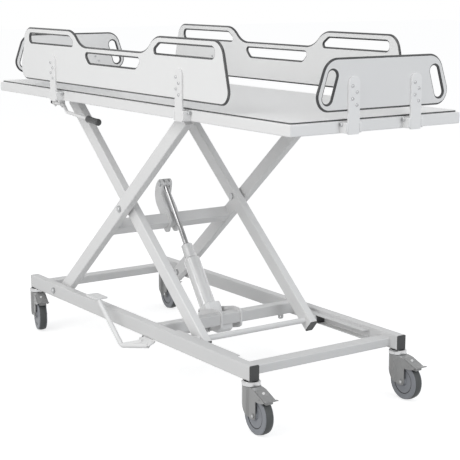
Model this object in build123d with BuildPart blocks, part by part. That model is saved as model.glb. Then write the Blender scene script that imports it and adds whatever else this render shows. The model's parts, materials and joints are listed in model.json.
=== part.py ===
from build123d import *
from math import cos, radians, sin
import os

os.makedirs("parts", exist_ok=True)

# Shower trolley: a lying table with folding panels, on a scissor lift, on a base with four castors.
# X runs along the trolley, Y across it (right is -Y, left is +Y), Z is up from the floor.
# The origin is on the floor, midway between the castors. All sizes are millimetres.

# Tube stock and fits
tube_wall = 2.5
tube_inner_corner = 1.5
running_fit = 0.05
seat_fit = 0.02
side_gap = 0.3

# Base frame
base_length = 1500.0
base_inset = 10.0
rail_height = 50.0
rail_width = 35.0
end_cross_width = 50.0
end_cross_height = 30.0
end_cross_lift = 6.0
end_cross_inset = 60.0
pump_cross_size = 40.0
pump_cross_share = 0.80749
eyelet_y = 225.0
eyelet_width = 20.0
eyelet_drop = 16.0
eyelet_thickness = 6.0
eyelet_hole_radius = 4.0
eyelet_corner = 6.5
cap_thickness = 3.0
cap_plug = 3.0

# Castors
wheel_radius = 62.5
wheel_flange_radius = 60.5
wheel_width = 31.0
tread_width = 24.6
tread_depth = 8.5
wheel_groove_radius = 40.5
wheel_groove_width = 3.5
wheel_groove_depth = 4.5
wheel_boss_radius = 14.0
wheel_web_inset = 1.0
wheel_boss_flare = 2.0
wheel_edge_chamfer = 1.5
wheel_axle_radius = 6.0
axle_head_radius = 7.5
axle_head_height = 3.5
castor_trail = 45.0
castor_inset = 15.0
castor_yaw = {"front_right": -3.0, "front_left": 0.0, "rear_right": -15.0, "rear_left": -6.0}
fork_inside = 39.0
fork_wall = 3.0
fork_housing_radius = 28.5
fork_housing_run = 14.0
fork_fold = 21.0
fork_skirt = 40.0
fork_eye_radius = 12.0
fork_headroom = 15.0
fork_leg_drop = 77.0
fork_tail_drop = 35.0
fork_tail_reach = 62.0
fork_tail_end_drop = 25.5
fork_toe_reach = 56.0
fork_toe_rise = 5.0
fork_knee_reach = 38.0
fork_knee_drop = 16.0
fork_crown_reach = 6.0
fork_crown_drop = 4.0
fork_crown_slope = 22.0
crown_thickness = 6.0
swivel_ring_radius = 30.0
swivel_ring_height = 14.7
ring_lower_chamfer = 2.0
ring_upper_chamfer = 3.0
stem_radius = 8.0
stem_head_radius = 13.0
stem_head_height = 4.0
stem_nut_radius = 11.0
stem_nut_height = 8.0
brake_pin_radius = 3.0
brake_pin_behind_axle = 33.0
brake_pin_drop = 22.0
brake_hub_radius = 7.0
brake_plate_thickness = 3.0
brake_tip_behind_axle = 73.0
brake_shoe_gap = 4.2
brake_heel_behind_axle = 9.0
brake_heel_drop = 3.0
brake_knee_behind_axle = 24.0
brake_knee_drop = 8.5
brake_dip_behind_axle = 57.0
brake_dip_drop = 21.5
brake_tip_drop = 19.5
brake_lip_gap = 2.0
brake_shoe_lead = 5.0
brake_shoe_rise = 10.5
brake_shoe_step = 10.0
brake_shoe_step_rise = 5.0
brake_shoe_reach = 26.0
brake_shoe_reach_drop = 2.0
brake_shoe_depth = 13.0

# Scissor lift
slider_inset = 171.3
lift_angle = 40.26
lift_travel = 24.0
lift_pivot_inset = 193.0
lift_pivot_rise = 26.0
arm_depth = 50.0
arm_width = 30.0
arm_tail = 28.0
arm_head_cut = 38.0
arm_end_plate = 5.0
arm_lug_thickness = 12.0
arm_eye_radius = 15.5
rail_arm_gap = 6.0
arm_gap = 8.0
pivot_bolt_radius = 8.0
pivot_head_radius = 12.0
pivot_head_height = 5.0
pivot_nut_height = 7.5
spacer_radius = 14.0
axle_radius = 10.0
stub_head_radius = 13.0
stub_head_height = 4.0

# Guide channels and slide blocks
channel_height = 30.0
channel_wall = 3.0
lower_channel_depth = 28.5
upper_channel_depth = 28.0
upper_channel_gap = 3.0
channel_rear_run = 96.0
channel_front_run = 31.0
block_length = 50.0
block_end_gap = 0.5
block_corner = 3.0

# Lever and hydraulic ram
outer_cross_size = 44.0
outer_cross_share = 0.38884
lever_pin_lead = 57.0
lever_pin_across = 128.0
lever_pin_radius = 6.0
lever_pin_head_radius = 9.0
lever_pin_head_height = 3.0
lever_gap = 28.0
lever_thickness = 8.0
lever_boss_radius = 17.0
lever_boss_lean = 37.0
lever_back_set = 16.0
lever_neck_rise = 16.0
lever_wrap = 9.0
lever_wrap_step = 5.0
lever_lobe = 12.0
lever_toe_reach = 8.0
lever_front_reach = 16.0
lever_front_drop = 36.0
ram_foot_behind_cross = 104.0
ram_foot_rise = 11.0
foot_half_width = 33.0
foot_back = 33.0
foot_front = 44.0
foot_top = 41.0
foot_below = 13.0
foot_corner = 12.0
foot_edge = 2.0
ram_pin_radius = 8.0
ram_pin_head_radius = 12.0
ram_pin_head_height = 4.0
ram_spacer_radius = 13.0
cylinder_radius = 30.0
cylinder_start = 22.0
cylinder_floor = 28.0
cylinder_bore_radius = 22.0
cylinder_shoulder = 236.0
cylinder_neck_taper = 8.0
cylinder_collar_radius = 21.0
cylinder_top = 286.6
rod_radius = 10.0
rod_floor_gap = 2.0
rod_eye_radius = 16.5
rod_eye_bore = 11.0
rod_eye_gap = 0.3

# Foot pump
bracket_spacing = 78.0
bracket_thickness = 6.0
bracket_rim = 6.0
bracket_crest = 11.0
bracket_heel_reach = 20.0
bracket_heel_below = 12.0
bracket_heel_above = 14.0
bracket_neck_back = 4.0
bracket_neck_rise = 31.0
bracket_front_drop = 49.0
bracket_toe_set = 10.0
bracket_toe_drop = 20.0
bracket_barrel_margin = 4.0
bracket_belly_drop = 24.0
valve_length = 77.0
valve_width = 54.0
valve_height = 33.0
valve_chamfer = 4.0
valve_set_back = 12.0
valve_front_chamfer = 14.0
barrel_radius = 14.0
barrel_length = 23.0
barrel_bore_depth = 22.0

# Foot pedal
pedal_pivot_behind_cross = 57.0
pedal_pivot_drop = 13.0
pedal_shaft_radius = 8.0
pedal_shaft_reach = 28.0
pedal_lug_radius = 11.0
pedal_lug_thickness = 8.0
pedal_lug_spacing = 20.0
pedal_plate_length = 85.0
pedal_plate_width = 57.0
pedal_plate_thickness = 6.0
pedal_plate_overhang = 19.5
pedal_plate_lead = 23.0
pedal_sleeve_radius = 11.5
pedal_bar_radius = 8.0
pedal_bar_bend = 45.0
pedal_knee_reach = 63.0
pedal_knee_out = 34.0
pedal_knee_drop = 8.0
pedal_tip_inset = 30.0
pedal_tip_out = 10.0
pedal_pad_length = 80.0
pedal_pad_width = 49.0
pedal_pad_thickness = 5.0
pedal_pad_corner = 8.0
pedal_pad_height = 255.0
pedal_pad_x = -135.0
pedal_pad_overhang = 40.0

# Table
table_length = 1916.0
table_width = 655.0
table_tube = 35.0
table_bar = 30.0
rear_bar_behind_pivot = 83.0
board_rise = 16.0
board_thickness = 6.0
board_inset = 6.0
board_corner = 10.0
board_edge = 1.0
pivot_boss_radius = 15.0
pivot_boss_gap = 4.0
pivot_boss_floor = 4.0

# Hand lever under the right side tube
hand_lug_spacing = 54.0
hand_lug_thickness = 6.0
hand_lug_half = 11.0
hand_lug_point = 13.0
hand_lever_in = 6.0
hand_lever_drop = 18.8
hand_lever_x = -500.2
hand_rod_radius = 6.0
hand_rod_overhang = 27.0
hand_rod_run = 12.0
hand_crank_run = 26.0
hand_crank_drop = 26.0
hand_rod_arm = 160.0
hand_arm_slope = 4.2
hand_rod_bend = 18.0
hand_grip_radius = 12.7
hand_grip_length = 84.0
hand_grip_sink = 20.0
hand_grip_nose = 7.0
hand_grip_waist = 1.5
hand_grip_lead = 4.0
hand_grip_lead_step = 2.0

# Folding panels and their hinges
panel_gap = 13.0
panel_thickness = 10.0
panel_edge = 4.0
side_panel_x = -13.0
panel_lift = 24.5
side_panel_height = 195.0
side_dip_depth = 55.0
side_foot_half = 712.0
side_head_half = 662.0
side_head_corner = 55.0
side_foot_corner = 42.0
side_dip_half = 181.0
side_dip_run = 133.0
side_slot_height = 31.0
side_slot_below_top = 24.0
side_slot_inner = 262.0
side_slot_shoulder = 308.0
side_slot_outer = 622.0
side_slot_shoulder_corner = 25.0
slot_corner = 8.0
slot_end_corner = 14.0
grip_slot_below_dip = 23.0
grip_slot_height = 32.0
grip_slot_top_half = 192.0
grip_slot_foot_half = 160.0
grip_slot_corner = 22.0
end_panel_height = 153.5
end_foot_half = 270.0
end_head_half = 216.0
end_head_corner = 56.0
end_foot_corner = 44.0
end_slot_width = 31.0
end_slot_run = 67.0
end_slot_y = 205.0
end_slot_rise = 71.0
end_slot_lean = 17.35
strap_width = 42.0
strap_thickness = 6.0
strap_reach = 100.0
strap_tail = 19.5
strap_corner = 5.0
strap_edge = 1.0
side_strap_x = 430.0
end_strap_y = 119.5
hinge_pin_radius = 3.0
hinge_barrel_radius = 5.5
ear_thickness = 8.0
ear_margin = 1.5
ear_nose = 6.0
ear_bolt_out = 8.0
ear_bolt_below_board = 8.0
ear_bolt_radius = 3.0
ear_bolt_head_radius = 6.75
ear_bolt_head_height = 5.0
ear_bolt_dome = 3.0

# Heights and widths that follow from the sizes above
tube_corner = tube_wall + tube_inner_corner
base_width = table_width - 2 * base_inset
crown_bottom = 2 * wheel_radius + fork_headroom
fork_top = crown_bottom + crown_thickness
rail_bottom = fork_top + side_gap + swivel_ring_height
rail_top = rail_bottom + rail_height
rail_outer = base_width / 2
rail_inner = rail_outer - rail_width
rail_y = rail_outer - rail_width / 2
castor_x = base_length / 2 - castor_inset
end_cross_x = base_length / 2 - end_cross_inset
pump_cross_top = rail_top
pump_cross_bottom = pump_cross_top - pump_cross_size

# The two arms of the scissor turn on the base at the rear and slide at the front
lift_pivot_x = -base_length / 2 + lift_pivot_inset
lift_pivot_z = rail_bottom + lift_pivot_rise
slider_far_x = base_length / 2 - slider_inset
arm_length = (slider_far_x - lift_pivot_x) / cos(radians(lift_angle - lift_travel))
rise = arm_length * sin(radians(lift_angle))
slider_x = lift_pivot_x + arm_length * cos(radians(lift_angle))
table_pivot_z = lift_pivot_z + rise
centre_x = (lift_pivot_x + slider_x) / 2
centre_z = (lift_pivot_z + table_pivot_z) / 2
pump_cross_x = lift_pivot_x + (slider_x - lift_pivot_x) * pump_cross_share
pump_cross_front = pump_cross_x + pump_cross_size / 2
pump_cross_rear = pump_cross_x - pump_cross_size / 2
outer_arm_out = rail_inner - rail_arm_gap
outer_arm_in = outer_arm_out - arm_width
inner_arm_out = outer_arm_in - arm_gap
inner_arm_in = inner_arm_out - arm_width
outer_arm_y = (outer_arm_out + outer_arm_in) / 2
inner_arm_y = (inner_arm_out + inner_arm_in) / 2
outer_along = Vector(cos(radians(lift_angle)), 0, sin(radians(lift_angle)))
inner_along = Vector(-cos(radians(lift_angle)), 0, sin(radians(lift_angle)))
outer_foot = Vector(lift_pivot_x, 0, lift_pivot_z)
inner_foot = Vector(slider_x, 0, lift_pivot_z)
across = Vector(0, 1, 0)
toward_right = Vector(0, -1, 0)

# The table sits on the upper pivots
board_bottom = table_pivot_z + board_rise
board_top = board_bottom + board_thickness
table_outer = table_width / 2
table_inner = table_outer - table_tube
mid_bar_x = slider_x - channel_rear_run + table_bar / 2
front_bar_x = slider_far_x + channel_front_run + block_length / 2 + table_bar / 2
rear_bar_x = lift_pivot_x - rear_bar_behind_pivot


def square_tube(plane, width, height, length):
    """A welded box tube that runs along the plane's normal."""
    with BuildPart() as tube:
        with BuildSketch(plane):
            RectangleRounded(width, height, tube_corner)
            RectangleRounded(
                width - 2 * tube_wall, height - 2 * tube_wall, tube_inner_corner, mode=Mode.SUBTRACT
            )
        extrude(amount=length)
    return tube.part


def turned_pin(x, z, *steps):
    """A turned piece along Y, given as (from y, to y, radius) for each of its steps."""
    with BuildPart() as pin:
        for start, end, radius in steps:
            with BuildSketch(Plane(origin=(x, min(start, end), z), x_dir=(1, 0, 0), z_dir=(0, 1, 0))):
                Circle(radius)
            extrude(amount=abs(end - start))
    return pin.part


# Base rails: box tube, open for the castor stems below and the lift pivots through their sides
for side_name, side in (("right", -1), ("left", 1)):
    rail_start = Plane(
        origin=(-base_length / 2, side * rail_y, rail_bottom + rail_height / 2), x_dir=across, z_dir=(1, 0, 0)
    )
    with BuildPart() as base_rail:
        add(square_tube(rail_start, rail_width, rail_height, base_length))
        add(
            turned_pin(
                lift_pivot_x,
                lift_pivot_z,
                (side * rail_inner, side * rail_outer, pivot_bolt_radius + seat_fit),
            ),
            mode=Mode.SUBTRACT,
        )
        with BuildSketch(Plane.XY.offset(rail_bottom)):
            with Locations((castor_x, side * rail_y), (-castor_x, side * rail_y)):
                Circle(stem_radius + seat_fit)
        extrude(amount=tube_wall, mode=Mode.SUBTRACT)
    base_rail.part.label = f"base_rail_{side_name}"
    export_step(base_rail.part, f"parts/base_rail_{side_name}.step")

# Cross tubes between the rails, with the eyelet that hangs under the pump's tube
with BuildPart() as base_cross_tubes:
    for x in (-end_cross_x, end_cross_x):
        cross_start = Plane(
            origin=(x, -rail_inner, rail_bottom + end_cross_lift + end_cross_height / 2),
            x_dir=(1, 0, 0),
            z_dir=across,
        )
        add(square_tube(cross_start, end_cross_width, end_cross_height, 2 * rail_inner))
    pump_cross_start = Plane(
        origin=(pump_cross_x, -rail_inner, pump_cross_top - pump_cross_size / 2),
        x_dir=(1, 0, 0),
        z_dir=across,
    )
    add(square_tube(pump_cross_start, pump_cross_size, pump_cross_size, 2 * rail_inner))
    eyelet_face = Plane(origin=(pump_cross_front - tube_corner, 0, 0), x_dir=across, z_dir=(1, 0, 0))
    with BuildSketch(eyelet_face) as eyelet:
        with Locations((eyelet_y, pump_cross_bottom - eyelet_drop / 2)):
            Rectangle(eyelet_width, eyelet_drop)
        fillet(eyelet.vertices().group_by(Axis.Y)[0], eyelet_corner)
        with Locations((eyelet_y, pump_cross_bottom - eyelet_drop / 2)):
            Circle(eyelet_hole_radius, mode=Mode.SUBTRACT)
    extrude(amount=-eyelet_thickness)
base_cross_tubes.part.label = "base_cross_tubes"
export_step(base_cross_tubes.part, "parts/base_cross_tubes.step")

# Moulded caps in the ends of the rails
with BuildPart() as rail_end_caps:
    for end in (-1, 1):
        for side in (-1, 1):
            rail_end = Plane(
                origin=(end * base_length / 2, side * rail_y, rail_bottom + rail_height / 2),
                x_dir=across,
                z_dir=(end, 0, 0),
            )
            with BuildSketch(rail_end):
                RectangleRounded(rail_width, rail_height, tube_corner)
            extrude(amount=cap_thickness)
            with BuildSketch(rail_end):
                RectangleRounded(
                    rail_width - 2 * tube_wall - 2 * seat_fit,
                    rail_height - 2 * tube_wall - 2 * seat_fit,
                    tube_inner_corner,
                )
            extrude(amount=-cap_plug)
rail_end_caps.part.label = "rail_end_caps"
export_step(rail_end_caps.part, "parts/rail_end_caps.step")


def guide_channel(x_start, x_end, web_y, lip_y, z):
    """A C-shaped guide along X, open on the side of its lips."""
    depth = abs(lip_y - web_y)
    inward = 1 if lip_y > web_y else -1
    with BuildPart() as channel:
        with BuildSketch(Plane(origin=(x_start, 0, 0), x_dir=across, z_dir=(1, 0, 0))):
            with Locations(((web_y + lip_y) / 2, z)):
                Rectangle(depth, channel_height)
            with Locations(((web_y + lip_y) / 2 + inward * channel_wall / 2, z)):
                Rectangle(depth - channel_wall, channel_height - 2 * channel_wall, mode=Mode.SUBTRACT)
        extrude(amount=x_end - x_start)
    return channel.part


# Guides for the lower slide blocks, on the inside of the rails
with BuildPart() as lower_guide_channels:
    for side in (-1, 1):
        add(
            guide_channel(
                slider_x - channel_rear_run,
                slider_far_x + channel_front_run,
                side * rail_inner,
                side * (rail_inner - lower_channel_depth),
                lift_pivot_z,
            )
        )
lower_guide_channels.part.label = "lower_guide_channels"
export_step(lower_guide_channels.part, "parts/lower_guide_channels.step")

# Places of the ram's foot, the lever pin and the pedal pivot
ram_foot = Vector(pump_cross_x - ram_foot_behind_cross, 0, rail_bottom + ram_foot_rise)
pedal_x = pump_cross_x - pedal_pivot_behind_cross
pedal_z = rail_bottom - pedal_pivot_drop
bracket_in = bracket_spacing / 2
bracket_out = bracket_in + bracket_thickness

# Pump brackets: two plates that hook round the pump's cross tube and carry the ram's foot
bracket_front = pump_cross_front + bracket_rim
bracket_top = pump_cross_top + bracket_crest
bracket_points = [
    (ram_foot.X - bracket_heel_reach, ram_foot.Z - bracket_heel_below),
    (ram_foot.X - bracket_heel_reach, ram_foot.Z + bracket_heel_above),
    (ram_foot.X - bracket_neck_back, ram_foot.Z + bracket_neck_rise),
    (pump_cross_rear - bracket_rim, bracket_top),
    (pump_cross_front - bracket_rim, bracket_top),
    (bracket_front, bracket_top - bracket_crest),
    (bracket_front, pump_cross_top - bracket_front_drop),
    (pump_cross_front - bracket_toe_set, pump_cross_bottom - bracket_toe_drop),
    (pedal_x - barrel_radius - bracket_barrel_margin, pedal_z - barrel_radius - bracket_barrel_margin),
    (ram_foot.X, ram_foot.Z - bracket_belly_drop),
]
with BuildPart() as pump_brackets:
    for side in (-1, 1):
        bracket_face = Plane(
            origin=(0, side * (bracket_in + bracket_thickness / 2), 0), x_dir=(1, 0, 0), z_dir=toward_right
        )
        with BuildSketch(bracket_face):
            with BuildLine():
                Polyline(*bracket_points, close=True)
            make_face()
            with Locations((pump_cross_x, pump_cross_top - pump_cross_size / 2)):
                RectangleRounded(pump_cross_size, pump_cross_size, tube_corner, mode=Mode.SUBTRACT)
            with Locations((ram_foot.X, ram_foot.Z)):
                Circle(ram_pin_radius + seat_fit, mode=Mode.SUBTRACT)
        extrude(amount=bracket_thickness / 2, both=True)
    add(
        turned_pin(pedal_x, pedal_z, (-bracket_in, -bracket_out, barrel_radius + seat_fit)),
        mode=Mode.SUBTRACT,
    )
pump_brackets.part.label = "pump_brackets"
export_step(pump_brackets.part, "parts/pump_brackets.step")

# Valve body under the cross tube, with the pump barrel that the pedal shaft turns in
valve_front = pump_cross_front - valve_set_back
with BuildPart() as pump_valve_body:
    with BuildSketch(Plane.XY.offset(pump_cross_bottom - valve_height)):
        with Locations((valve_front - valve_length / 2, valve_width / 2 - bracket_in)):
            Rectangle(valve_length, valve_width)
    extrude(amount=valve_height)
    lower_edges = pump_valve_body.edges().group_by(Axis.Z)[0].filter_by(Axis.Y).sort_by(Axis.X)
    chamfer(lower_edges[0], valve_chamfer)
    chamfer(lower_edges[-1], valve_front_chamfer)
    add(turned_pin(pedal_x, pedal_z, (-bracket_in, -bracket_in - barrel_length, barrel_radius)))
    add(
        turned_pin(
            pedal_x,
            pedal_z,
            (
                -bracket_in - barrel_length + barrel_bore_depth,
                -bracket_in - barrel_length,
                pedal_shaft_radius + running_fit,
            ),
        ),
        mode=Mode.SUBTRACT,
    )
pump_valve_body.part.label = "pump_valve_body"
export_step(pump_valve_body.part, "parts/pump_valve_body.step")

# Fixed pins on the base: the two lift pivots and the pin of the ram's foot
with BuildPart() as base_pivot_pins:
    for side in (-1, 1):
        add(
            turned_pin(
                lift_pivot_x,
                lift_pivot_z,
                (side * rail_outer, side * (rail_outer + pivot_head_height), pivot_head_radius),
                (side * (outer_arm_in - side_gap - pivot_nut_height), side * rail_outer, pivot_bolt_radius),
                (side * (outer_arm_out + side_gap), side * rail_inner, spacer_radius),
                (
                    side * (outer_arm_in - side_gap - pivot_nut_height),
                    side * (outer_arm_in - side_gap),
                    pivot_head_radius,
                ),
            )
        )
    add(
        turned_pin(
            ram_foot.X,
            ram_foot.Z,
            (-bracket_out - ram_pin_head_height, -bracket_out, ram_pin_head_radius),
            (-bracket_out, bracket_out, ram_pin_radius),
            (bracket_out, bracket_out + ram_pin_head_height, ram_pin_head_radius),
            (-bracket_in, -foot_half_width - side_gap, ram_spacer_radius),
            (foot_half_width + side_gap, bracket_in, ram_spacer_radius),
        )
    )
base_pivot_pins.part.label = "base_pivot_pins"
export_step(base_pivot_pins.part, "parts/base_pivot_pins.step")

# Lugs under the right rail, in which the pedal shaft turns
with BuildPart() as pedal_lugs:
    for y in (-rail_y - pedal_lug_spacing / 2, -rail_y + pedal_lug_spacing / 2):
        with BuildSketch(Plane(origin=(0, y, 0), x_dir=(1, 0, 0), z_dir=toward_right)):
            with Locations((pedal_x, pedal_z)):
                Circle(pedal_lug_radius)
            with Locations((pedal_x, pedal_z + pedal_pivot_drop / 2)):
                Rectangle(2 * pedal_lug_radius, pedal_pivot_drop)
            with Locations((pedal_x, pedal_z)):
                Circle(pedal_shaft_radius + running_fit, mode=Mode.SUBTRACT)
        extrude(amount=pedal_lug_thickness / 2, both=True)
pedal_lugs.part.label = "pedal_lugs"
export_step(pedal_lugs.part, "parts/pedal_lugs.step")

# Castor stems: the bright swivel ring under each rail, its stem and the nut inside the tube
ring_bottom = fork_top + side_gap
stem_head_top = crown_bottom - side_gap
with BuildPart() as castor_stem:
    with BuildSketch(Plane.XZ):
        with BuildLine():
            Polyline(
                (0, stem_head_top - stem_head_height),
                (stem_head_radius, stem_head_top - stem_head_height),
                (stem_head_radius, stem_head_top),
                (stem_radius, stem_head_top),
                (stem_radius, ring_bottom),
                (swivel_ring_radius - ring_lower_chamfer, ring_bottom),
                (swivel_ring_radius, ring_bottom + ring_lower_chamfer),
                (swivel_ring_radius, rail_bottom - ring_upper_chamfer),
                (swivel_ring_radius - ring_upper_chamfer, rail_bottom),
                (stem_radius, rail_bottom),
                (stem_radius, rail_bottom + tube_wall),
                (stem_nut_radius, rail_bottom + tube_wall),
                (stem_nut_radius, rail_bottom + tube_wall + stem_nut_height),
                (0, rail_bottom + tube_wall + stem_nut_height),
                close=True,
            )
        make_face()
    revolve(axis=Axis.Z)
with BuildPart() as castor_stems:
    with Locations(*[(end * castor_x, side * rail_y, 0) for end in (-1, 1) for side in (-1, 1)]):
        add(castor_stem.part)
castor_stems.part.label = "castor_stems"
export_step(castor_stems.part, "parts/castor_stems.step")

# One castor about its swivel axis at the origin, trailing towards +X
fork_outside = fork_inside + 2 * fork_wall
axle_seat = fork_outside / 2 + seat_fit
leg_rear = castor_trail + fork_eye_radius
brake_pin_x = castor_trail + brake_pin_behind_axle
brake_pin_z = fork_top - brake_pin_drop
tail_bottom = fork_top - fork_tail_drop
tail_end = castor_trail + fork_tail_reach
crown_rear = castor_trail + fork_crown_reach


def fork_plan(radius, half_width):
    """A block with the fork's outline from above: a round housing with two flat cheeks behind it."""
    with BuildPart() as plan:
        with BuildSketch(Plane.XY):
            with BuildLine():
                housing = ThreePointArc((0, radius), (-radius, 0), (0, -radius))
                Polyline(
                    housing @ 1,
                    (fork_housing_run, -radius),
                    (fork_fold, -half_width),
                    (tail_end, -half_width),
                    (tail_end, half_width),
                    (fork_fold, half_width),
                    (fork_housing_run, radius),
                    housing @ 0,
                )
            make_face()
        extrude(amount=fork_top)
    return plan.part


# The room inside the fork for the wheel, open to the rear behind the crown
with BuildPart() as fork_hollow:
    with BuildSketch(Plane.XZ):
        with BuildLine():
            Polyline(
                (-fork_housing_radius, 0),
                (-fork_housing_radius, crown_bottom),
                (crown_rear, crown_bottom),
                (crown_rear, fork_top),
                (tail_end, fork_top),
                (tail_end, 0),
                close=True,
            )
        make_face()
    extrude(amount=fork_housing_radius, both=True)
    add(fork_plan(fork_housing_radius - fork_wall, fork_inside / 2), mode=Mode.INTERSECT)

with BuildPart() as fork_shape:
    with BuildSketch(Plane.XZ):
        with BuildLine():
            leg_front = Polyline(
                (crown_rear - fork_crown_slope, fork_top),
                (-fork_housing_radius, fork_top),
                (-fork_housing_radius, fork_top - fork_skirt),
                (0, fork_top - fork_leg_drop),
            )
            leg_curve = TangentArc(
                leg_front @ 1, (castor_trail, wheel_radius - fork_eye_radius), tangent=leg_front % 1
            )
            eye_mid = fork_eye_radius * sin(radians(45))
            ThreePointArc(
                leg_curve @ 1, (castor_trail + eye_mid, wheel_radius - eye_mid), (leg_rear, wheel_radius)
            )
            Polyline(
                (leg_rear, wheel_radius),
                (leg_rear, tail_bottom),
                (castor_trail + fork_knee_reach, tail_bottom),
                (castor_trail + fork_toe_reach, tail_bottom + fork_toe_rise),
                (tail_end, fork_top - fork_tail_end_drop),
                (castor_trail + fork_knee_reach, fork_top - fork_knee_drop),
                (crown_rear, fork_top - fork_crown_drop),
                (crown_rear - fork_crown_slope, fork_top),
            )
        make_face()
    extrude(amount=fork_housing_radius, both=True)
    add(fork_plan(fork_housing_radius, fork_outside / 2), mode=Mode.INTERSECT)
    crown_top = fork_shape.faces().sort_by(Axis.Z)[-1]
    fillet(crown_top.edges().sort_by(Axis.X)[:-1], fork_wall)
    add(fork_hollow.part, mode=Mode.SUBTRACT)
    with BuildSketch(Plane.XZ):
        with Locations((castor_trail, wheel_radius)):
            Circle(wheel_axle_radius + seat_fit)
        with Locations((brake_pin_x, brake_pin_z)):
            Circle(brake_pin_radius + seat_fit)
    extrude(amount=fork_outside / 2, both=True, mode=Mode.SUBTRACT)
    with BuildSketch(Plane.XY.offset(crown_bottom)):
        Circle(stem_radius + running_fit)
    extrude(amount=crown_thickness, mode=Mode.SUBTRACT)
    add(
        turned_pin(
            castor_trail,
            wheel_radius,
            (-axle_seat - axle_head_height, -axle_seat, axle_head_radius),
            (-axle_seat, axle_seat, wheel_axle_radius),
            (axle_seat, axle_seat + axle_head_height, axle_head_radius),
        )
    )
    add(turned_pin(brake_pin_x, brake_pin_z, (-fork_outside / 2, fork_outside / 2, brake_pin_radius)))

wheel_centre = Vector(castor_trail, 0, wheel_radius)
wheel_section = Plane(origin=wheel_centre, x_dir=across, z_dir=(1, 0, 0))
tread_seat = wheel_radius - tread_depth
with BuildPart() as wheel_core_shape:
    with BuildSketch(wheel_section):
        with BuildLine():
            Polyline(
                (0, wheel_axle_radius + running_fit),
                (fork_inside / 2 - side_gap, wheel_axle_radius + running_fit),
                (fork_inside / 2 - side_gap, wheel_boss_radius),
                (wheel_width / 2 - wheel_web_inset, wheel_boss_radius + wheel_boss_flare),
                (wheel_width / 2 - wheel_web_inset, wheel_groove_radius - wheel_groove_width / 2),
                (wheel_width / 2 - wheel_groove_depth, wheel_groove_radius - wheel_groove_width / 2),
                (wheel_width / 2 - wheel_groove_depth, wheel_groove_radius + wheel_groove_width / 2),
                (wheel_width / 2, wheel_groove_radius + wheel_groove_width / 2),
                (wheel_width / 2, wheel_flange_radius - wheel_edge_chamfer),
                (wheel_width / 2 - wheel_edge_chamfer, wheel_flange_radius),
                (tread_width / 2 + seat_fit, wheel_flange_radius),
                (tread_width / 2 + seat_fit, tread_seat),
                (0, tread_seat),
            )
            mirror(about=Plane.YZ)
        make_face()
    revolve(axis=Axis(wheel_centre, across))

with BuildPart() as wheel_tread_shape:
    with BuildSketch(wheel_section):
        with BuildLine():
            Polyline(
                (-tread_width / 2, wheel_flange_radius),
                (-tread_width / 2, tread_seat + seat_fit),
                (tread_width / 2, tread_seat + seat_fit),
                (tread_width / 2, wheel_flange_radius),
            )
            ThreePointArc(
                (tread_width / 2, wheel_flange_radius),
                (0, wheel_radius),
                (-tread_width / 2, wheel_flange_radius),
            )
        make_face()
    revolve(axis=Axis(wheel_centre, across))

# Brake pedal: a bent plate on a pin between the cheeks, with a shoe over the tread
plate_upper = [
    (castor_trail + brake_heel_behind_axle, fork_top - brake_heel_drop),
    (castor_trail + brake_knee_behind_axle, fork_top - brake_knee_drop),
    (castor_trail + brake_dip_behind_axle, fork_top - brake_dip_drop),
    (castor_trail + brake_tip_behind_axle, fork_top - brake_tip_drop),
]
lip_slope = (brake_dip_drop - brake_tip_drop) / (brake_tip_behind_axle - brake_dip_behind_axle)
lip_x = tail_end + brake_lip_gap
lip_start = (lip_x, plate_upper[3][1] - (plate_upper[3][0] - lip_x) * lip_slope)
lip_end = plate_upper[3]
with BuildPart() as brake_pedal_shape:
    with BuildSketch(Plane.XZ):
        with BuildLine():
            Polyline(
                *plate_upper,
                *[(x, z - brake_plate_thickness) for x, z in reversed(plate_upper)],
                close=True,
            )
        make_face()
    extrude(amount=fork_inside / 2 - side_gap, both=True)
    with BuildSketch(Plane.XZ):
        with BuildLine():
            Polyline(
                lip_start,
                lip_end,
                (lip_end[0], lip_end[1] - brake_plate_thickness),
                (lip_start[0], lip_start[1] - brake_plate_thickness),
                close=True,
            )
        make_face()
    extrude(amount=fork_outside / 2, both=True)
    with BuildSketch(Plane.XZ):
        with BuildLine():
            Polyline(
                (brake_pin_x - brake_shoe_lead, brake_pin_z),
                (brake_pin_x - brake_shoe_lead, brake_pin_z + brake_shoe_rise),
                (brake_pin_x + brake_shoe_step, brake_pin_z + brake_shoe_step_rise),
                (brake_pin_x + brake_shoe_reach, brake_pin_z - brake_shoe_reach_drop),
                (brake_pin_x + brake_shoe_reach, brake_pin_z - brake_shoe_depth),
                (brake_pin_x + brake_shoe_step, brake_pin_z - brake_shoe_depth),
                (brake_pin_x + brake_shoe_lead, brake_pin_z),
                close=True,
            )
        make_face()
        with Locations((castor_trail, wheel_radius)):
            Circle(wheel_radius + brake_shoe_gap, mode=Mode.SUBTRACT)
    extrude(amount=tread_width / 2, both=True)
    add(
        turned_pin(
            brake_pin_x,
            brake_pin_z,
            (side_gap - fork_inside / 2, fork_inside / 2 - side_gap, brake_hub_radius),
        )
    )
    add(
        turned_pin(
            brake_pin_x, brake_pin_z, (-fork_inside / 2, fork_inside / 2, brake_pin_radius + running_fit)
        ),
        mode=Mode.SUBTRACT,
    )

# The four castors, each turned to its own heading
castor_shapes = {
    "castor_fork": fork_shape,
    "wheel_core": wheel_core_shape,
    "wheel_tread": wheel_tread_shape,
    "brake_pedal": brake_pedal_shape,
}
for corner, yaw in castor_yaw.items():
    end = 1 if corner.startswith("front") else -1
    side = -1 if corner.endswith("right") else 1
    for piece, shape in castor_shapes.items():
        with BuildPart() as castor_piece:
            with Locations(Location((end * castor_x, side * rail_y, 0), (0, 0, yaw))):
                add(shape.part)
        castor_piece.part.label = f"{piece}_{corner}"
        export_step(castor_piece.part, f"parts/{piece}_{corner}.step")


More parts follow.
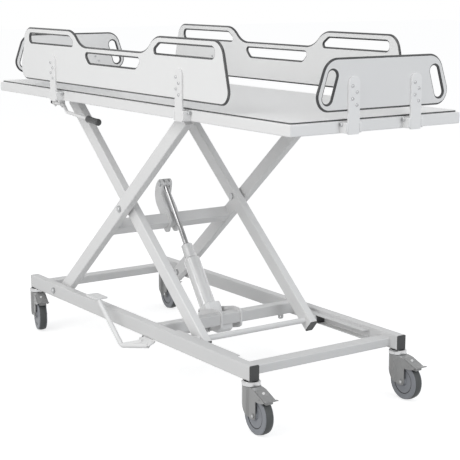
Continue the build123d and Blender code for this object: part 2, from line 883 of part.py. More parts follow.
def scissor_arm(foot, along, y):
    """A lift arm: box tube from its tail, closed at the head, with an eye plate on the upper pivot."""
    tail = Plane(origin=foot - along * arm_tail + across * y, x_dir=across, z_dir=along)
    head = foot + along * arm_length + across * y
    with BuildPart() as arm:
        add(square_tube(tail, arm_width, arm_depth, arm_tail + arm_length - arm_head_cut))
        with BuildSketch(Plane(origin=head - along * arm_head_cut, x_dir=across, z_dir=along)):
            RectangleRounded(arm_width, arm_depth, tube_corner)
        extrude(amount=-arm_end_plate)
        with BuildSketch(Plane(origin=head, x_dir=along, z_dir=toward_right)):
            Circle(arm_eye_radius)
            with Locations((-arm_head_cut / 2, 0)):
                Rectangle(arm_head_cut, 2 * arm_eye_radius)
        extrude(amount=arm_lug_thickness / 2, both=True)
    return arm.part


def arm_caps(foot, along, y):
    """The moulded cap in the tail of one arm."""
    tail = Plane(origin=foot - along * arm_tail + across * y, x_dir=across, z_dir=along)
    with BuildPart() as cap:
        with BuildSketch(tail):
            RectangleRounded(arm_width, arm_depth, tube_corner)
        extrude(amount=-cap_thickness)
        with BuildSketch(tail):
            RectangleRounded(
                arm_width - 2 * tube_wall - 2 * seat_fit,
                arm_depth - 2 * tube_wall - 2 * seat_fit,
                tube_inner_corner,
            )
        extrude(amount=cap_plug)
    return cap.part


# Outer arms: they turn on the base at the rear and slide under the table at the front
with BuildPart() as outer_arms:
    for side in (-1, 1):
        add(scissor_arm(outer_foot, outer_along, side * outer_arm_y))
        bore_from = side * outer_arm_in
        bore_to = side * outer_arm_out
        add(
            turned_pin(lift_pivot_x, lift_pivot_z, (bore_from, bore_to, pivot_bolt_radius + running_fit)),
            mode=Mode.SUBTRACT,
        )
        add(
            turned_pin(centre_x, centre_z, (bore_from, bore_to, pivot_bolt_radius + seat_fit)),
            mode=Mode.SUBTRACT,
        )
        add(
            turned_pin(slider_x, table_pivot_z, (bore_from, bore_to, axle_radius + seat_fit)),
            mode=Mode.SUBTRACT,
        )
outer_arms.part.label = "outer_arms"
export_step(outer_arms.part, "parts/outer_arms.step")

with BuildPart() as outer_arm_caps:
    for side in (-1, 1):
        add(arm_caps(outer_foot, outer_along, side * outer_arm_y))
outer_arm_caps.part.label = "outer_arm_caps"
export_step(outer_arm_caps.part, "parts/outer_arm_caps.step")

# Cross tube that joins the outer arms below their centre
outer_cross_along = arm_length * outer_cross_share
outer_cross_centre = outer_foot + outer_along * outer_cross_along
with BuildPart() as outer_cross_tube:
    cross_start = Plane(origin=outer_cross_centre - across * outer_arm_in, x_dir=outer_along, z_dir=across)
    add(square_tube(cross_start, outer_cross_size, outer_cross_size, 2 * outer_arm_in))
outer_cross_tube.part.label = "outer_cross_tube"
export_step(outer_cross_tube.part, "parts/outer_cross_tube.step")

# Lever plates: two curved plates round the cross tube that the ram pushes on
lever_face = Plane(origin=outer_foot, x_dir=outer_along, z_dir=toward_right)
lever_pin_along = outer_cross_along + lever_pin_lead
lever_pin_at = lever_face.from_local_coords((lever_pin_along, lever_pin_across, 0))
half_cross = outer_cross_size / 2
cross_back = outer_cross_along - half_cross
cross_front = outer_cross_along + half_cross
with BuildPart() as lever_plates:
    for side in (-1, 1):
        with BuildSketch(lever_face.offset(side * (lever_gap + lever_thickness) / 2)):
            with BuildLine():
                boss_run = lever_boss_radius * sin(radians(lever_boss_lean))
                boss_rise = lever_boss_radius * cos(radians(lever_boss_lean))
                boss_crown = (lever_pin_along, lever_pin_across + lever_boss_radius)
                boss_front = (lever_pin_along + boss_run, lever_pin_across - boss_rise)
                boss_top = (lever_pin_along + boss_rise, lever_pin_across + boss_run)
                back_along = outer_cross_along - lever_back_set
                back_radius = lever_pin_along - back_along
                back_centre = lever_pin_across + lever_boss_radius - back_radius
                back_reach = back_radius * sin(radians(45))
                back_middle = (lever_pin_along - back_reach, back_centre + back_reach)
                ThreePointArc(boss_crown, back_middle, (back_along, back_centre))
                plate_back = Polyline(
                    (back_along, back_centre),
                    (back_along, half_cross + lever_neck_rise),
                    (cross_back - lever_wrap, half_cross - lever_wrap_step),
                    (cross_back - lever_wrap, -half_cross),
                )
                lobe = TangentArc(
                    plate_back @ 1, (outer_cross_along, -half_cross - lever_lobe), tangent=plate_back % 1
                )
                Polyline(
                    lobe @ 1,
                    (cross_front + lever_toe_reach, -half_cross),
                    (cross_front + lever_front_reach, half_cross + lever_wrap_step),
                    (cross_front + lever_front_reach, lever_pin_across - lever_front_drop),
                    boss_front,
                )
                ThreePointArc(boss_front, boss_top, boss_crown)
            make_face()
            with Locations((outer_cross_along, 0)):
                RectangleRounded(outer_cross_size, outer_cross_size, tube_corner, mode=Mode.SUBTRACT)
            with Locations((lever_pin_along, lever_pin_across)):
                Circle(lever_pin_radius + seat_fit, mode=Mode.SUBTRACT)
        extrude(amount=lever_thickness / 2, both=True)
lever_plates.part.label = "lever_plates"
export_step(lever_plates.part, "parts/lever_plates.step")

lever_out = lever_gap / 2 + lever_thickness
with BuildPart() as lever_pin:
    add(
        turned_pin(
            lever_pin_at.X,
            lever_pin_at.Z,
            (-lever_out - lever_pin_head_height, -lever_out, lever_pin_head_radius),
            (-lever_out, lever_out, lever_pin_radius),
            (lever_out, lever_out + lever_pin_head_height, lever_pin_head_radius),
        )
    )
lever_pin.part.label = "lever_pin"
export_step(lever_pin.part, "parts/lever_pin.step")

# Bolts through both arms at the centre of the scissor
with BuildPart() as centre_pivot_bolts:
    for side in (-1, 1):
        add(
            turned_pin(
                centre_x,
                centre_z,
                (side * outer_arm_out, side * (outer_arm_out + pivot_head_height), pivot_head_radius),
                (
                    side * (inner_arm_in - side_gap - pivot_head_height),
                    side * outer_arm_out,
                    pivot_bolt_radius,
                ),
                (side * (inner_arm_out + side_gap), side * outer_arm_in, spacer_radius),
                (
                    side * (inner_arm_in - side_gap - pivot_head_height),
                    side * (inner_arm_in - side_gap),
                    pivot_head_radius,
                ),
            )
        )
centre_pivot_bolts.part.label = "centre_pivot_bolts"
export_step(centre_pivot_bolts.part, "parts/centre_pivot_bolts.step")

# Stub axles in the heads of the outer arms, which carry the upper slide blocks
upper_lip = outer_arm_in - upper_channel_gap
upper_web = upper_lip - upper_channel_depth
upper_block_in = upper_web + channel_wall + block_end_gap
upper_block_out = upper_lip
outer_lug_in = outer_arm_y - arm_lug_thickness / 2
outer_lug_out = outer_arm_y + arm_lug_thickness / 2
with BuildPart() as upper_slider_axles:
    for side in (-1, 1):
        add(
            turned_pin(
                slider_x,
                table_pivot_z,
                (side * outer_lug_out, side * (outer_lug_out + stub_head_height), stub_head_radius),
                (side * (upper_block_in + block_end_gap), side * outer_lug_out, axle_radius),
                (side * (upper_block_out + side_gap), side * outer_lug_in, spacer_radius),
            )
        )
upper_slider_axles.part.label = "upper_slider_axles"
export_step(upper_slider_axles.part, "parts/upper_slider_axles.step")

# Inner arms: they slide on the base at the front and carry the table's pivots at the rear
with BuildPart() as inner_arms:
    for side in (-1, 1):
        add(scissor_arm(inner_foot, inner_along, side * inner_arm_y))
        bore_from = side * inner_arm_in
        bore_to = side * inner_arm_out
        add(
            turned_pin(slider_x, lift_pivot_z, (bore_from, bore_to, axle_radius + seat_fit)),
            mode=Mode.SUBTRACT,
        )
        add(
            turned_pin(centre_x, centre_z, (bore_from, bore_to, pivot_bolt_radius + running_fit)),
            mode=Mode.SUBTRACT,
        )
        add(
            turned_pin(lift_pivot_x, table_pivot_z, (bore_from, bore_to, axle_radius + seat_fit)),
            mode=Mode.SUBTRACT,
        )
inner_arms.part.label = "inner_arms"
export_step(inner_arms.part, "parts/inner_arms.step")

with BuildPart() as inner_arm_caps:
    for side in (-1, 1):
        add(arm_caps(inner_foot, inner_along, side * inner_arm_y))
inner_arm_caps.part.label = "inner_arm_caps"
export_step(inner_arm_caps.part, "parts/inner_arm_caps.step")

# Through axle at the feet of the inner arms, with a collar on each side
lower_block_in = rail_inner - lower_channel_depth
lower_block_out = rail_inner - channel_wall - block_end_gap
with BuildPart() as lower_slider_axle:
    axle_end = lower_block_out - block_end_gap
    add(
        turned_pin(
            slider_x,
            lift_pivot_z,
            (-axle_end, axle_end, axle_radius),
            (-lower_block_in + side_gap, -inner_arm_out, spacer_radius),
            (inner_arm_out, lower_block_in - side_gap, spacer_radius),
        )
    )
lower_slider_axle.part.label = "lower_slider_axle"
export_step(lower_slider_axle.part, "parts/lower_slider_axle.step")

# Through shaft at the heads of the inner arms, which turns in the table's bosses
boss_in = inner_arm_out + pivot_boss_gap
inner_lug_out = inner_arm_y + arm_lug_thickness / 2
with BuildPart() as upper_pivot_shaft:
    shaft_end = table_inner - pivot_boss_floor - side_gap
    add(
        turned_pin(
            lift_pivot_x,
            table_pivot_z,
            (-shaft_end, shaft_end, axle_radius),
            (-boss_in + side_gap, -inner_lug_out, spacer_radius),
            (inner_lug_out, boss_in - side_gap, spacer_radius),
        )
    )
upper_pivot_shaft.part.label = "upper_pivot_shaft"
export_step(upper_pivot_shaft.part, "parts/upper_pivot_shaft.step")


def slide_block(x, z, y_in, y_out):
    """A plastic block that slides in a guide channel and turns on an axle."""
    with BuildPart() as block:
        with BuildSketch(Plane(origin=(x, y_in, z), x_dir=(1, 0, 0), z_dir=across)):
            RectangleRounded(block_length, channel_height - 2 * channel_wall - 2 * side_gap, block_corner)
            Circle(axle_radius + running_fit, mode=Mode.SUBTRACT)
        extrude(amount=y_out - y_in)
    return block.part


with BuildPart() as lower_slide_blocks:
    add(slide_block(slider_x, lift_pivot_z, -lower_block_out, -lower_block_in))
    add(slide_block(slider_x, lift_pivot_z, lower_block_in, lower_block_out))
lower_slide_blocks.part.label = "lower_slide_blocks"
export_step(lower_slide_blocks.part, "parts/lower_slide_blocks.step")

with BuildPart() as upper_slide_blocks:
    add(slide_block(slider_x, table_pivot_z, -upper_block_out, -upper_block_in))
    add(slide_block(slider_x, table_pivot_z, upper_block_in, upper_block_out))
upper_slide_blocks.part.label = "upper_slide_blocks"
export_step(upper_slide_blocks.part, "parts/upper_slide_blocks.step")

# Hydraulic ram: its axis runs from the foot pin to the lever pin
ram_vector = lever_pin_at - ram_foot
ram_along = ram_vector.normalized()
ram_length = ram_vector.length
lowered = Plane(origin=outer_foot).rotated((0, lift_travel, 0))
lever_pin_low = lowered.from_local_coords(lever_pin_at - outer_foot)
ram_closed = (lever_pin_low - ram_foot).length
rod_length = ram_closed - cylinder_floor - rod_floor_gap
ram_section = Plane(origin=ram_foot, x_dir=ram_along, z_dir=toward_right)
ram_axis = Axis(ram_foot, ram_along)

with BuildPart() as cylinder:
    with BuildSketch(ram_section):
        with BuildLine():
            Polyline(
                (cylinder_start, 0),
                (cylinder_start, cylinder_radius),
                (cylinder_shoulder - cylinder_neck_taper, cylinder_radius),
                (cylinder_shoulder, cylinder_collar_radius),
                (cylinder_top, cylinder_collar_radius),
                (cylinder_top, rod_radius + running_fit),
                (cylinder_shoulder, rod_radius + running_fit),
                (cylinder_shoulder - cylinder_neck_taper, cylinder_bore_radius),
                (cylinder_floor, cylinder_bore_radius),
                (cylinder_floor, 0),
                close=True,
            )
        make_face()
    revolve(axis=ram_axis)
cylinder.part.label = "cylinder"
export_step(cylinder.part, "parts/cylinder.step")

# Cylinder foot: a cast block that turns on the foot pin and holds the cylinder in a socket
with BuildPart() as cylinder_foot:
    with BuildSketch(ram_section):
        with Locations(((foot_top - foot_below) / 2, (foot_back - foot_front) / 2)):
            Rectangle(foot_top + foot_below, foot_back + foot_front)
    extrude(amount=foot_half_width, both=True)
    chamfer(cylinder_foot.edges().filter_by(ram_axis), foot_corner)
    chamfer(cylinder_foot.faces().sort_by(ram_axis)[-1].edges(), foot_edge)
    with BuildSketch(Plane(origin=ram_foot + ram_along * cylinder_start, z_dir=ram_along)):
        Circle(cylinder_radius + seat_fit)
    extrude(amount=foot_top - cylinder_start, mode=Mode.SUBTRACT)
    add(
        turned_pin(
            ram_foot.X, ram_foot.Z, (-foot_half_width, foot_half_width, ram_pin_radius + running_fit)
        ),
        mode=Mode.SUBTRACT,
    )
cylinder_foot.part.label = "cylinder_foot"
export_step(cylinder_foot.part, "parts/cylinder_foot.step")

with BuildPart() as piston_rod:
    with BuildSketch(Plane(origin=lever_pin_at - ram_along * rod_length, z_dir=ram_along)):
        Circle(rod_radius)
    extrude(amount=rod_length)
    add(
        turned_pin(
            lever_pin_at.X,
            lever_pin_at.Z,
            (rod_eye_gap - lever_gap / 2, lever_gap / 2 - rod_eye_gap, rod_eye_radius),
        )
    )
    add(
        turned_pin(lever_pin_at.X, lever_pin_at.Z, (-lever_gap / 2, lever_gap / 2, rod_eye_bore)),
        mode=Mode.SUBTRACT,
    )
piston_rod.part.label = "piston_rod"
export_step(piston_rod.part, "parts/piston_rod.step")

# Pedal lever: plate and sleeve under the right rail, bent bar and foot pad outside it
plate_top = pedal_z - pedal_lug_radius - side_gap
plate_right = -rail_outer - pedal_plate_overhang
plate_middle = plate_top - pedal_plate_thickness / 2
plate_rear = pedal_x - pedal_plate_lead
sleeve_half = pedal_lug_spacing / 2 - pedal_lug_thickness / 2 - side_gap
pad_y = -rail_outer - pedal_pad_overhang
with BuildPart() as pedal_lever:
    with BuildSketch(Plane.XY.offset(plate_top - pedal_plate_thickness)):
        with Locations((plate_rear + pedal_plate_length / 2, plate_right + pedal_plate_width / 2)):
            Rectangle(pedal_plate_length, pedal_plate_width)
    extrude(amount=pedal_plate_thickness)
    with BuildSketch(Plane(origin=(pedal_x, -rail_y, pedal_z), x_dir=(1, 0, 0), z_dir=toward_right)):
        Circle(pedal_sleeve_radius)
        with Locations((0, (plate_middle - pedal_z) / 2)):
            Rectangle(2 * pedal_sleeve_radius, pedal_z - plate_middle)
    extrude(amount=sleeve_half, both=True)
    with BuildLine():
        bar_line = FilletPolyline(
            (plate_rear + pedal_plate_length, plate_right, plate_middle),
            (pedal_x - pedal_knee_reach, plate_right - pedal_knee_out, plate_middle - pedal_knee_drop),
            (pedal_pad_x + pedal_tip_inset, pad_y - pedal_tip_out, pedal_pad_height - pedal_pad_thickness),
            radius=pedal_bar_bend,
        )
    with BuildSketch(Plane(origin=bar_line @ 0, z_dir=bar_line % 0)):
        Circle(pedal_bar_radius)
    sweep()
    with BuildSketch(Plane.XY.offset(pedal_pad_height - pedal_pad_thickness / 2)):
        with Locations((pedal_pad_x, pad_y)):
            RectangleRounded(pedal_pad_length, pedal_pad_width, pedal_pad_corner)
    extrude(amount=pedal_pad_thickness)
    add(
        turned_pin(
            pedal_x,
            pedal_z,
            (-rail_y - sleeve_half, -rail_y + sleeve_half, pedal_shaft_radius + seat_fit),
        ),
        mode=Mode.SUBTRACT,
    )
    add(
        turned_pin(
            pedal_x,
            pedal_z,
            (
                -rail_outer - pedal_shaft_reach,
                -bracket_in - barrel_length + barrel_bore_depth - side_gap,
                pedal_shaft_radius,
            ),
        )
    )
pedal_lever.part.label = "pedal_lever"
export_step(pedal_lever.part, "parts/pedal_lever.step")


def mitred_tube(start, length, corners):
    """A table tube whose ends are cut along the corner planes it meets its neighbours on."""
    with BuildPart() as tube:
        add(square_tube(start, table_tube, table_tube, length))
        for corner in corners:
            split(bisect_by=corner, keep=Keep.BOTTOM)
    return tube.part


# Table frame: mitred tubes round the edge and three bars across
frame_z = board_bottom - table_tube / 2
bar_z = board_bottom - table_bar / 2
half_length = table_length / 2
table_tubes = []
for side in (-1, 1):
    tube_start = Plane(
        origin=(-half_length, side * (table_outer - table_tube / 2), frame_z), x_dir=across, z_dir=(1, 0, 0)
    )
    corners = [
        Plane(origin=(end * half_length, side * table_outer, 0), z_dir=(end, -side, 0)) for end in (-1, 1)
    ]
    table_tubes.append(mitred_tube(tube_start, table_length, corners))
for end in (-1, 1):
    tube_start = Plane(
        origin=(end * (half_length - table_tube / 2), -table_outer, frame_z), x_dir=(1, 0, 0), z_dir=across
    )
    corners = [
        Plane(origin=(end * half_length, side * table_outer, 0), z_dir=(-end, side, 0)) for side in (-1, 1)
    ]
    table_tubes.append(mitred_tube(tube_start, table_width, corners))
for x in (rear_bar_x, mid_bar_x, front_bar_x):
    bar_start = Plane(origin=(x, -table_inner, bar_z), x_dir=(1, 0, 0), z_dir=across)
    table_tubes.append(square_tube(bar_start, table_bar, table_bar, 2 * table_inner))
table_frame_tubes = Compound([tube.solid() for tube in table_tubes])
table_frame_tubes.label = "table_frame_tubes"
export_step(table_frame_tubes, "parts/table_frame_tubes.step")

# Lying board: one sheet of compact laminate on top of the frame
with BuildPart() as lying_board:
    with BuildSketch(Plane.XY.offset(board_bottom)):
        RectangleRounded(table_length - 2 * board_inset, table_width - 2 * board_inset, board_corner)
    extrude(amount=board_thickness)
    chamfer(lying_board.faces().filter_by(Axis.Z).edges(), board_edge)
lying_board.part.label = "lying_board"
export_step(lying_board.part, "parts/lying_board.step")

# Guides for the upper slide blocks, welded between the middle and front bars
with BuildPart() as upper_guide_channels:
    for side in (-1, 1):
        add(
            guide_channel(
                mid_bar_x + table_bar / 2,
                front_bar_x - table_bar / 2,
                side * upper_web,
                side * upper_lip,
                table_pivot_z,
            )
        )
upper_guide_channels.part.label = "upper_guide_channels"
export_step(upper_guide_channels.part, "parts/upper_guide_channels.step")

# Lugs under the table: bosses for the upper pivot shaft and hangers for the hand lever
hand_y = -(table_outer - table_tube / 2 - hand_lever_in)
hand_z = frame_z - table_tube / 2 - hand_lever_drop
with BuildPart() as table_lugs:
    for side in (-1, 1):
        add(turned_pin(lift_pivot_x, table_pivot_z, (side * boss_in, side * table_inner, pivot_boss_radius)))
        add(
            turned_pin(
                lift_pivot_x,
                table_pivot_z,
                (side * boss_in, side * (table_inner - pivot_boss_floor), axle_radius + running_fit),
            ),
            mode=Mode.SUBTRACT,
        )
    for x in (hand_lever_x - hand_lug_spacing / 2, hand_lever_x + hand_lug_spacing / 2):
        with BuildSketch(Plane(origin=(x, 0, 0), x_dir=across, z_dir=(1, 0, 0))):
            with BuildLine():
                Polyline(
                    (hand_y - hand_lug_half, hand_z + hand_lever_drop),
                    (hand_y - hand_lug_half, hand_z),
                    (hand_y, hand_z - hand_lug_point),
                    (hand_y + hand_lug_half, hand_z),
                    (hand_y + hand_lug_half, hand_z + hand_lever_drop),
                    close=True,
                )
            make_face()
            with Locations((hand_y, hand_z)):
                Circle(hand_rod_radius + running_fit, mode=Mode.SUBTRACT)
        extrude(amount=hand_lug_thickness / 2, both=True)
table_lugs.part.label = "table_lugs"
export_step(table_lugs.part, "parts/table_lugs.step")

# Hand lever: a cranked rod that hangs in the two lugs, with a moulded grip on its end
rod_start_x = hand_lever_x - hand_lug_spacing / 2 - hand_rod_overhang
crank_x = hand_lever_x + hand_lug_spacing / 2 + hand_rod_run
arm_z = hand_z - hand_crank_drop
hand_arm_along = Vector(cos(radians(hand_arm_slope)), 0, -sin(radians(hand_arm_slope)))
hand_arm_start = Vector(crank_x + hand_crank_run, hand_y, arm_z)
grip_start = hand_arm_start + hand_arm_along * hand_rod_arm
with BuildPart() as hand_lever:
    with BuildLine():
        rod_line = FilletPolyline(
            (rod_start_x, hand_y, hand_z),
            (crank_x, hand_y, hand_z),
            hand_arm_start,
            grip_start + hand_arm_along * hand_grip_sink,
            radius=hand_rod_bend,
        )
    with BuildSketch(Plane(origin=rod_line @ 0, z_dir=rod_line % 0)):
        Circle(hand_rod_radius)
    sweep()
hand_lever.part.label = "hand_lever"
export_step(hand_lever.part, "parts/hand_lever.step")

grip_section = Plane(origin=grip_start, x_dir=hand_arm_along, z_dir=toward_right)
with BuildPart() as hand_grip:
    with BuildSketch(grip_section):
        with BuildLine():
            grip_waist = hand_grip_radius - hand_grip_waist
            grip_side = Polyline(
                (0, hand_rod_radius + seat_fit),
                (0, hand_grip_radius - hand_grip_lead_step),
                (hand_grip_lead, hand_grip_radius),
            )
            grip_back = ThreePointArc(
                grip_side @ 1,
                (hand_grip_length / 2, grip_waist),
                (hand_grip_length - hand_grip_nose, hand_grip_radius),
            )
            grip_nose = TangentArc(
                grip_back @ 1, (hand_grip_length, hand_grip_radius - hand_grip_nose), tangent=(1, 0)
            )
            Polyline(
                grip_nose @ 1,
                (hand_grip_length, 0),
                (hand_grip_sink + side_gap, 0),
                (hand_grip_sink + side_gap, hand_rod_radius + seat_fit),
                grip_side @ 0,
            )
        make_face()
    revolve(axis=Axis(grip_start, hand_arm_along))
hand_grip.part.label = "hand_grip"
export_step(hand_grip.part, "parts/hand_grip.step")

# Each edge of the table has a plane whose X runs along the edge, Y is up and Z points outwards
table_edges = {
    "side_right": Plane(origin=(side_panel_x, -table_outer, 0), x_dir=(1, 0, 0), z_dir=(0, -1, 0)),
    "side_left": Plane(origin=(side_panel_x, table_outer, 0), x_dir=(-1, 0, 0), z_dir=(0, 1, 0)),
    "end_front": Plane(origin=(half_length, 0, 0), x_dir=(0, 1, 0), z_dir=(1, 0, 0)),
    "end_rear": Plane(origin=(-half_length, 0, 0), x_dir=(0, -1, 0), z_dir=(-1, 0, 0)),
}
strap_out = panel_gap + panel_thickness
hinge_z = board_bottom - table_tube / 2
panel_bottom = board_top + panel_lift
strap_offsets = {"side": side_strap_x, "end": end_strap_y}
ear_start = strap_width / 2 + side_gap
ear_end = ear_start + ear_thickness
ear_out = strap_out + strap_thickness
ear_bolt_z = board_bottom - ear_bolt_below_board


def edge_pin(edge, out, z, *steps):
    """A turned piece along a table edge, given as (from, to, radius) for each of its steps."""
    with BuildPart() as pin:
        for start, end, radius in steps:
            centre = edge.from_local_coords((min(start, end), z, out))
            with BuildSketch(Plane(origin=centre, z_dir=edge.x_dir)):
                Circle(radius)
            extrude(amount=abs(end - start))
    return pin.part


def domed_bolt(edge, start, end):
    """A bolt through one ear, with a domed head that stands on the ear's far face."""
    head_end = end + ear_bolt_head_height if end > start else end - ear_bolt_head_height
    with BuildPart() as bolt:
        add(edge_pin(edge, ear_bolt_out, ear_bolt_z, (end, head_end, ear_bolt_head_radius)))
        dome_rim = bolt.edges().filter_by(GeomType.CIRCLE).sort_by(Axis(edge.origin, edge.x_dir))
        fillet(dome_rim[-1 if end > start else 0], ear_bolt_dome)
        add(edge_pin(edge, ear_bolt_out, ear_bolt_z, (start, end, ear_bolt_radius)))
    return bolt.part


# Hinge ears: a pair of thick plates for each strap, welded to the side of the frame
with BuildPart() as hinge_ears:
    for edge_name, edge in table_edges.items():
        offset_along = strap_offsets[edge_name.split("_")[0]]
        for middle in (-offset_along, offset_along):
            for ear_far in (-ear_start, ear_end):
                ear_plane = Plane(
                    origin=edge.from_local_coords((middle + ear_far, 0, 0)),
                    x_dir=edge.z_dir,
                    z_dir=-edge.x_dir,
                )
                with BuildSketch(ear_plane) as ear:
                    with Locations((ear_out / 2, hinge_z)):
                        Rectangle(ear_out, table_tube - 2 * ear_margin)
                    fillet(ear.vertices().group_by(Axis.X)[-1], ear_nose)
                    with Locations((strap_out, hinge_z)):
                        Circle(hinge_pin_radius + seat_fit, mode=Mode.SUBTRACT)
                    with Locations((ear_bolt_out, ear_bolt_z)):
                        Circle(ear_bolt_radius + seat_fit, mode=Mode.SUBTRACT)
                extrude(amount=ear_thickness)
hinge_ears.part.label = "hinge_ears"
export_step(hinge_ears.part, "parts/hinge_ears.step")

# Hinge pins, flush with the outer faces of the ears
with BuildPart() as hinge_pins:
    for edge_name, edge in table_edges.items():
        offset_along = strap_offsets[edge_name.split("_")[0]]
        for middle in (-offset_along, offset_along):
            add(edge_pin(edge, strap_out, hinge_z, (middle - ear_end, middle + ear_end, hinge_pin_radius)))
hinge_pins.part.label = "hinge_pins"
export_step(hinge_pins.part, "parts/hinge_pins.step")

# Domed bolts in the ears
with BuildPart() as hinge_bolts:
    for edge_name, edge in table_edges.items():
        offset_along = strap_offsets[edge_name.split("_")[0]]
        for middle in (-offset_along, offset_along):
            add(domed_bolt(edge, middle + ear_start, middle + ear_end))
            add(domed_bolt(edge, middle - ear_start, middle - ear_end))
hinge_bolts.part.label = "hinge_bolts"
export_step(hinge_bolts.part, "parts/hinge_bolts.step")

# Hinge straps: flat bars screwed to the panels, each with a barrel on the hinge pin
strap_foot_z = hinge_z - strap_tail
strap_shoulder_z = panel_bottom + strap_reach - strap_width / 2
for edge_name, edge in table_edges.items():
    offset_along = strap_offsets[edge_name.split("_")[0]]
    with BuildPart() as straps:
        with BuildSketch(edge.offset(strap_out)) as strap_outline:
            for middle in (-offset_along, offset_along):
                with Locations((middle, (strap_foot_z + strap_shoulder_z) / 2)):
                    Rectangle(strap_width, strap_shoulder_z - strap_foot_z)
            fillet(strap_outline.vertices().group_by(Axis.Y)[0], strap_corner)
            with Locations((-offset_along, strap_shoulder_z), (offset_along, strap_shoulder_z)):
                Circle(strap_width / 2)
        extrude(amount=strap_thickness)
        strap_faces = straps.faces().filter_by(edge).group_by(Axis(edge.origin, edge.z_dir))[-1]
        chamfer(strap_faces.edges(), strap_edge)
        for middle in (-offset_along, offset_along):
            start = middle - strap_width / 2
            end = middle + strap_width / 2
            add(edge_pin(edge, strap_out, hinge_z, (start, end, hinge_barrel_radius)))
            add(
                edge_pin(edge, strap_out, hinge_z, (start, end, hinge_pin_radius + running_fit)),
                mode=Mode.SUBTRACT,
            )
    straps.part.label = f"straps_{edge_name}"
    export_step(straps.part, f"parts/straps_{edge_name}.step")

# Side panels: two humps with a dip between them, a slot in each hump and a grip slot under the dip
side_top = panel_bottom + side_panel_height
dip_z = side_top - side_dip_depth
slot_top = side_top - side_slot_below_top
slot_bottom = slot_top - side_slot_height
grip_top = dip_z - grip_slot_below_dip
grip_bottom = grip_top - grip_slot_height
for side_name in ("right", "left"):
    edge = table_edges[f"side_{side_name}"]
    with BuildPart() as side_panel:
        with BuildSketch(edge.offset(panel_gap)):
            with BuildLine():
                dip = Line((0, dip_z), (side_dip_half, dip_z))
                dip_middle = (side_dip_half + side_dip_run / 2, (dip_z + side_top) / 2)
                dip_foot = TangentArc(dip @ 1, dip_middle, tangent=(1, 0))
                dip_head = TangentArc(
                    dip_foot @ 1, (side_dip_half + side_dip_run, side_top), tangent=dip_foot % 1
                )
                FilletPolyline(
                    dip_head @ 1,
                    (side_head_half, side_top),
                    (side_foot_half, panel_bottom),
                    (0, panel_bottom),
                    radius=[side_head_corner, side_foot_corner],
                )
                mirror(about=Plane.YZ)
            make_face()
            for end in (-1, 1):
                with BuildLine():
                    FilletPolyline(
                        (end * side_slot_inner, slot_bottom),
                        (end * side_slot_shoulder, slot_top),
                        (end * side_slot_outer, slot_top),
                        (end * side_slot_outer, slot_bottom),
                        radius=[slot_corner, side_slot_shoulder_corner, slot_end_corner, slot_end_corner],
                        close=True,
                    )
                make_face(mode=Mode.SUBTRACT)
            with BuildLine():
                FilletPolyline(
                    (-grip_slot_top_half, grip_top),
                    (grip_slot_top_half, grip_top),
                    (grip_slot_foot_half, grip_bottom),
                    (-grip_slot_foot_half, grip_bottom),
                    radius=[slot_corner, slot_corner, grip_slot_corner, grip_slot_corner],
                    close=True,
                )
            make_face(mode=Mode.SUBTRACT)
        extrude(amount=panel_thickness)
        chamfer(side_panel.faces().filter_by(edge).edges(), panel_edge)
    side_panel.part.label = f"side_panel_{side_name}"
    export_step(side_panel.part, f"parts/side_panel_{side_name}.step")

# End panels: a sloped board with a leaning slot near each end
end_top = panel_bottom + end_panel_height
for end_name in ("front", "rear"):
    edge = table_edges[f"end_{end_name}"]
    with BuildPart() as end_panel:
        with BuildSketch(edge.offset(panel_gap)):
            with BuildLine():
                FilletPolyline(
                    (0, end_top),
                    (end_head_half, end_top),
                    (end_foot_half, panel_bottom),
                    (0, panel_bottom),
                    radius=[end_head_corner, end_foot_corner],
                )
                mirror(about=Plane.YZ)
            make_face()
            for end in (-1, 1):
                with Locations((end * end_slot_y, panel_bottom + end_slot_rise)):
                    SlotCenterToCenter(
                        end_slot_run, end_slot_width, rotation=90 + end * end_slot_lean, mode=Mode.SUBTRACT
                    )
        extrude(amount=panel_thickness)
        chamfer(end_panel.faces().filter_by(edge).edges(), panel_edge)
    end_panel.part.label = f"end_panel_{end_name}"
    export_step(end_panel.part, f"parts/end_panel_{end_name}.step")
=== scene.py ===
import json
from math import atan2, cos, pi, radians, sqrt, tan

import bpy
from mathutils import Matrix, Vector


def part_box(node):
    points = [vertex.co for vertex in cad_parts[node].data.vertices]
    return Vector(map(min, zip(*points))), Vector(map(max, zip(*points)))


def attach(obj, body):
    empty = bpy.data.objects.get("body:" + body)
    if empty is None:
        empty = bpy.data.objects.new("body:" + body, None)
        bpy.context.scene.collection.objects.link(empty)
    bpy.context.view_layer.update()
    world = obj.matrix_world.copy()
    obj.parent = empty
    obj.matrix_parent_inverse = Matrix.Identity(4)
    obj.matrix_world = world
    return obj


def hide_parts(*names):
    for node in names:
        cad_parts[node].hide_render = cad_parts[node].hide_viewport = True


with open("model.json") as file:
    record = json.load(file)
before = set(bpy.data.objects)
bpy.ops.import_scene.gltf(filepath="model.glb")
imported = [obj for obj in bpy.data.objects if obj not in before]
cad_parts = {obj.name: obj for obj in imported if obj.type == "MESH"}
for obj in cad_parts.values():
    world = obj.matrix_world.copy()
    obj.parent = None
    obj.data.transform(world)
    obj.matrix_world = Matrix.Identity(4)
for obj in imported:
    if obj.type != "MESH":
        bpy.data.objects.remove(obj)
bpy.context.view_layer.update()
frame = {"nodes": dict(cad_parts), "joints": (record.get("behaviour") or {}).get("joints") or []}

bpy.ops.object.select_all(action="DESELECT")

# Studio: a white paper floor that runs out of the picture, a white surround and large soft lamps.
# The floor and the surround look white to the camera and in reflections, and the floor keeps the shadow.
scene = bpy.context.scene
scene.view_settings.view_transform = "Standard"

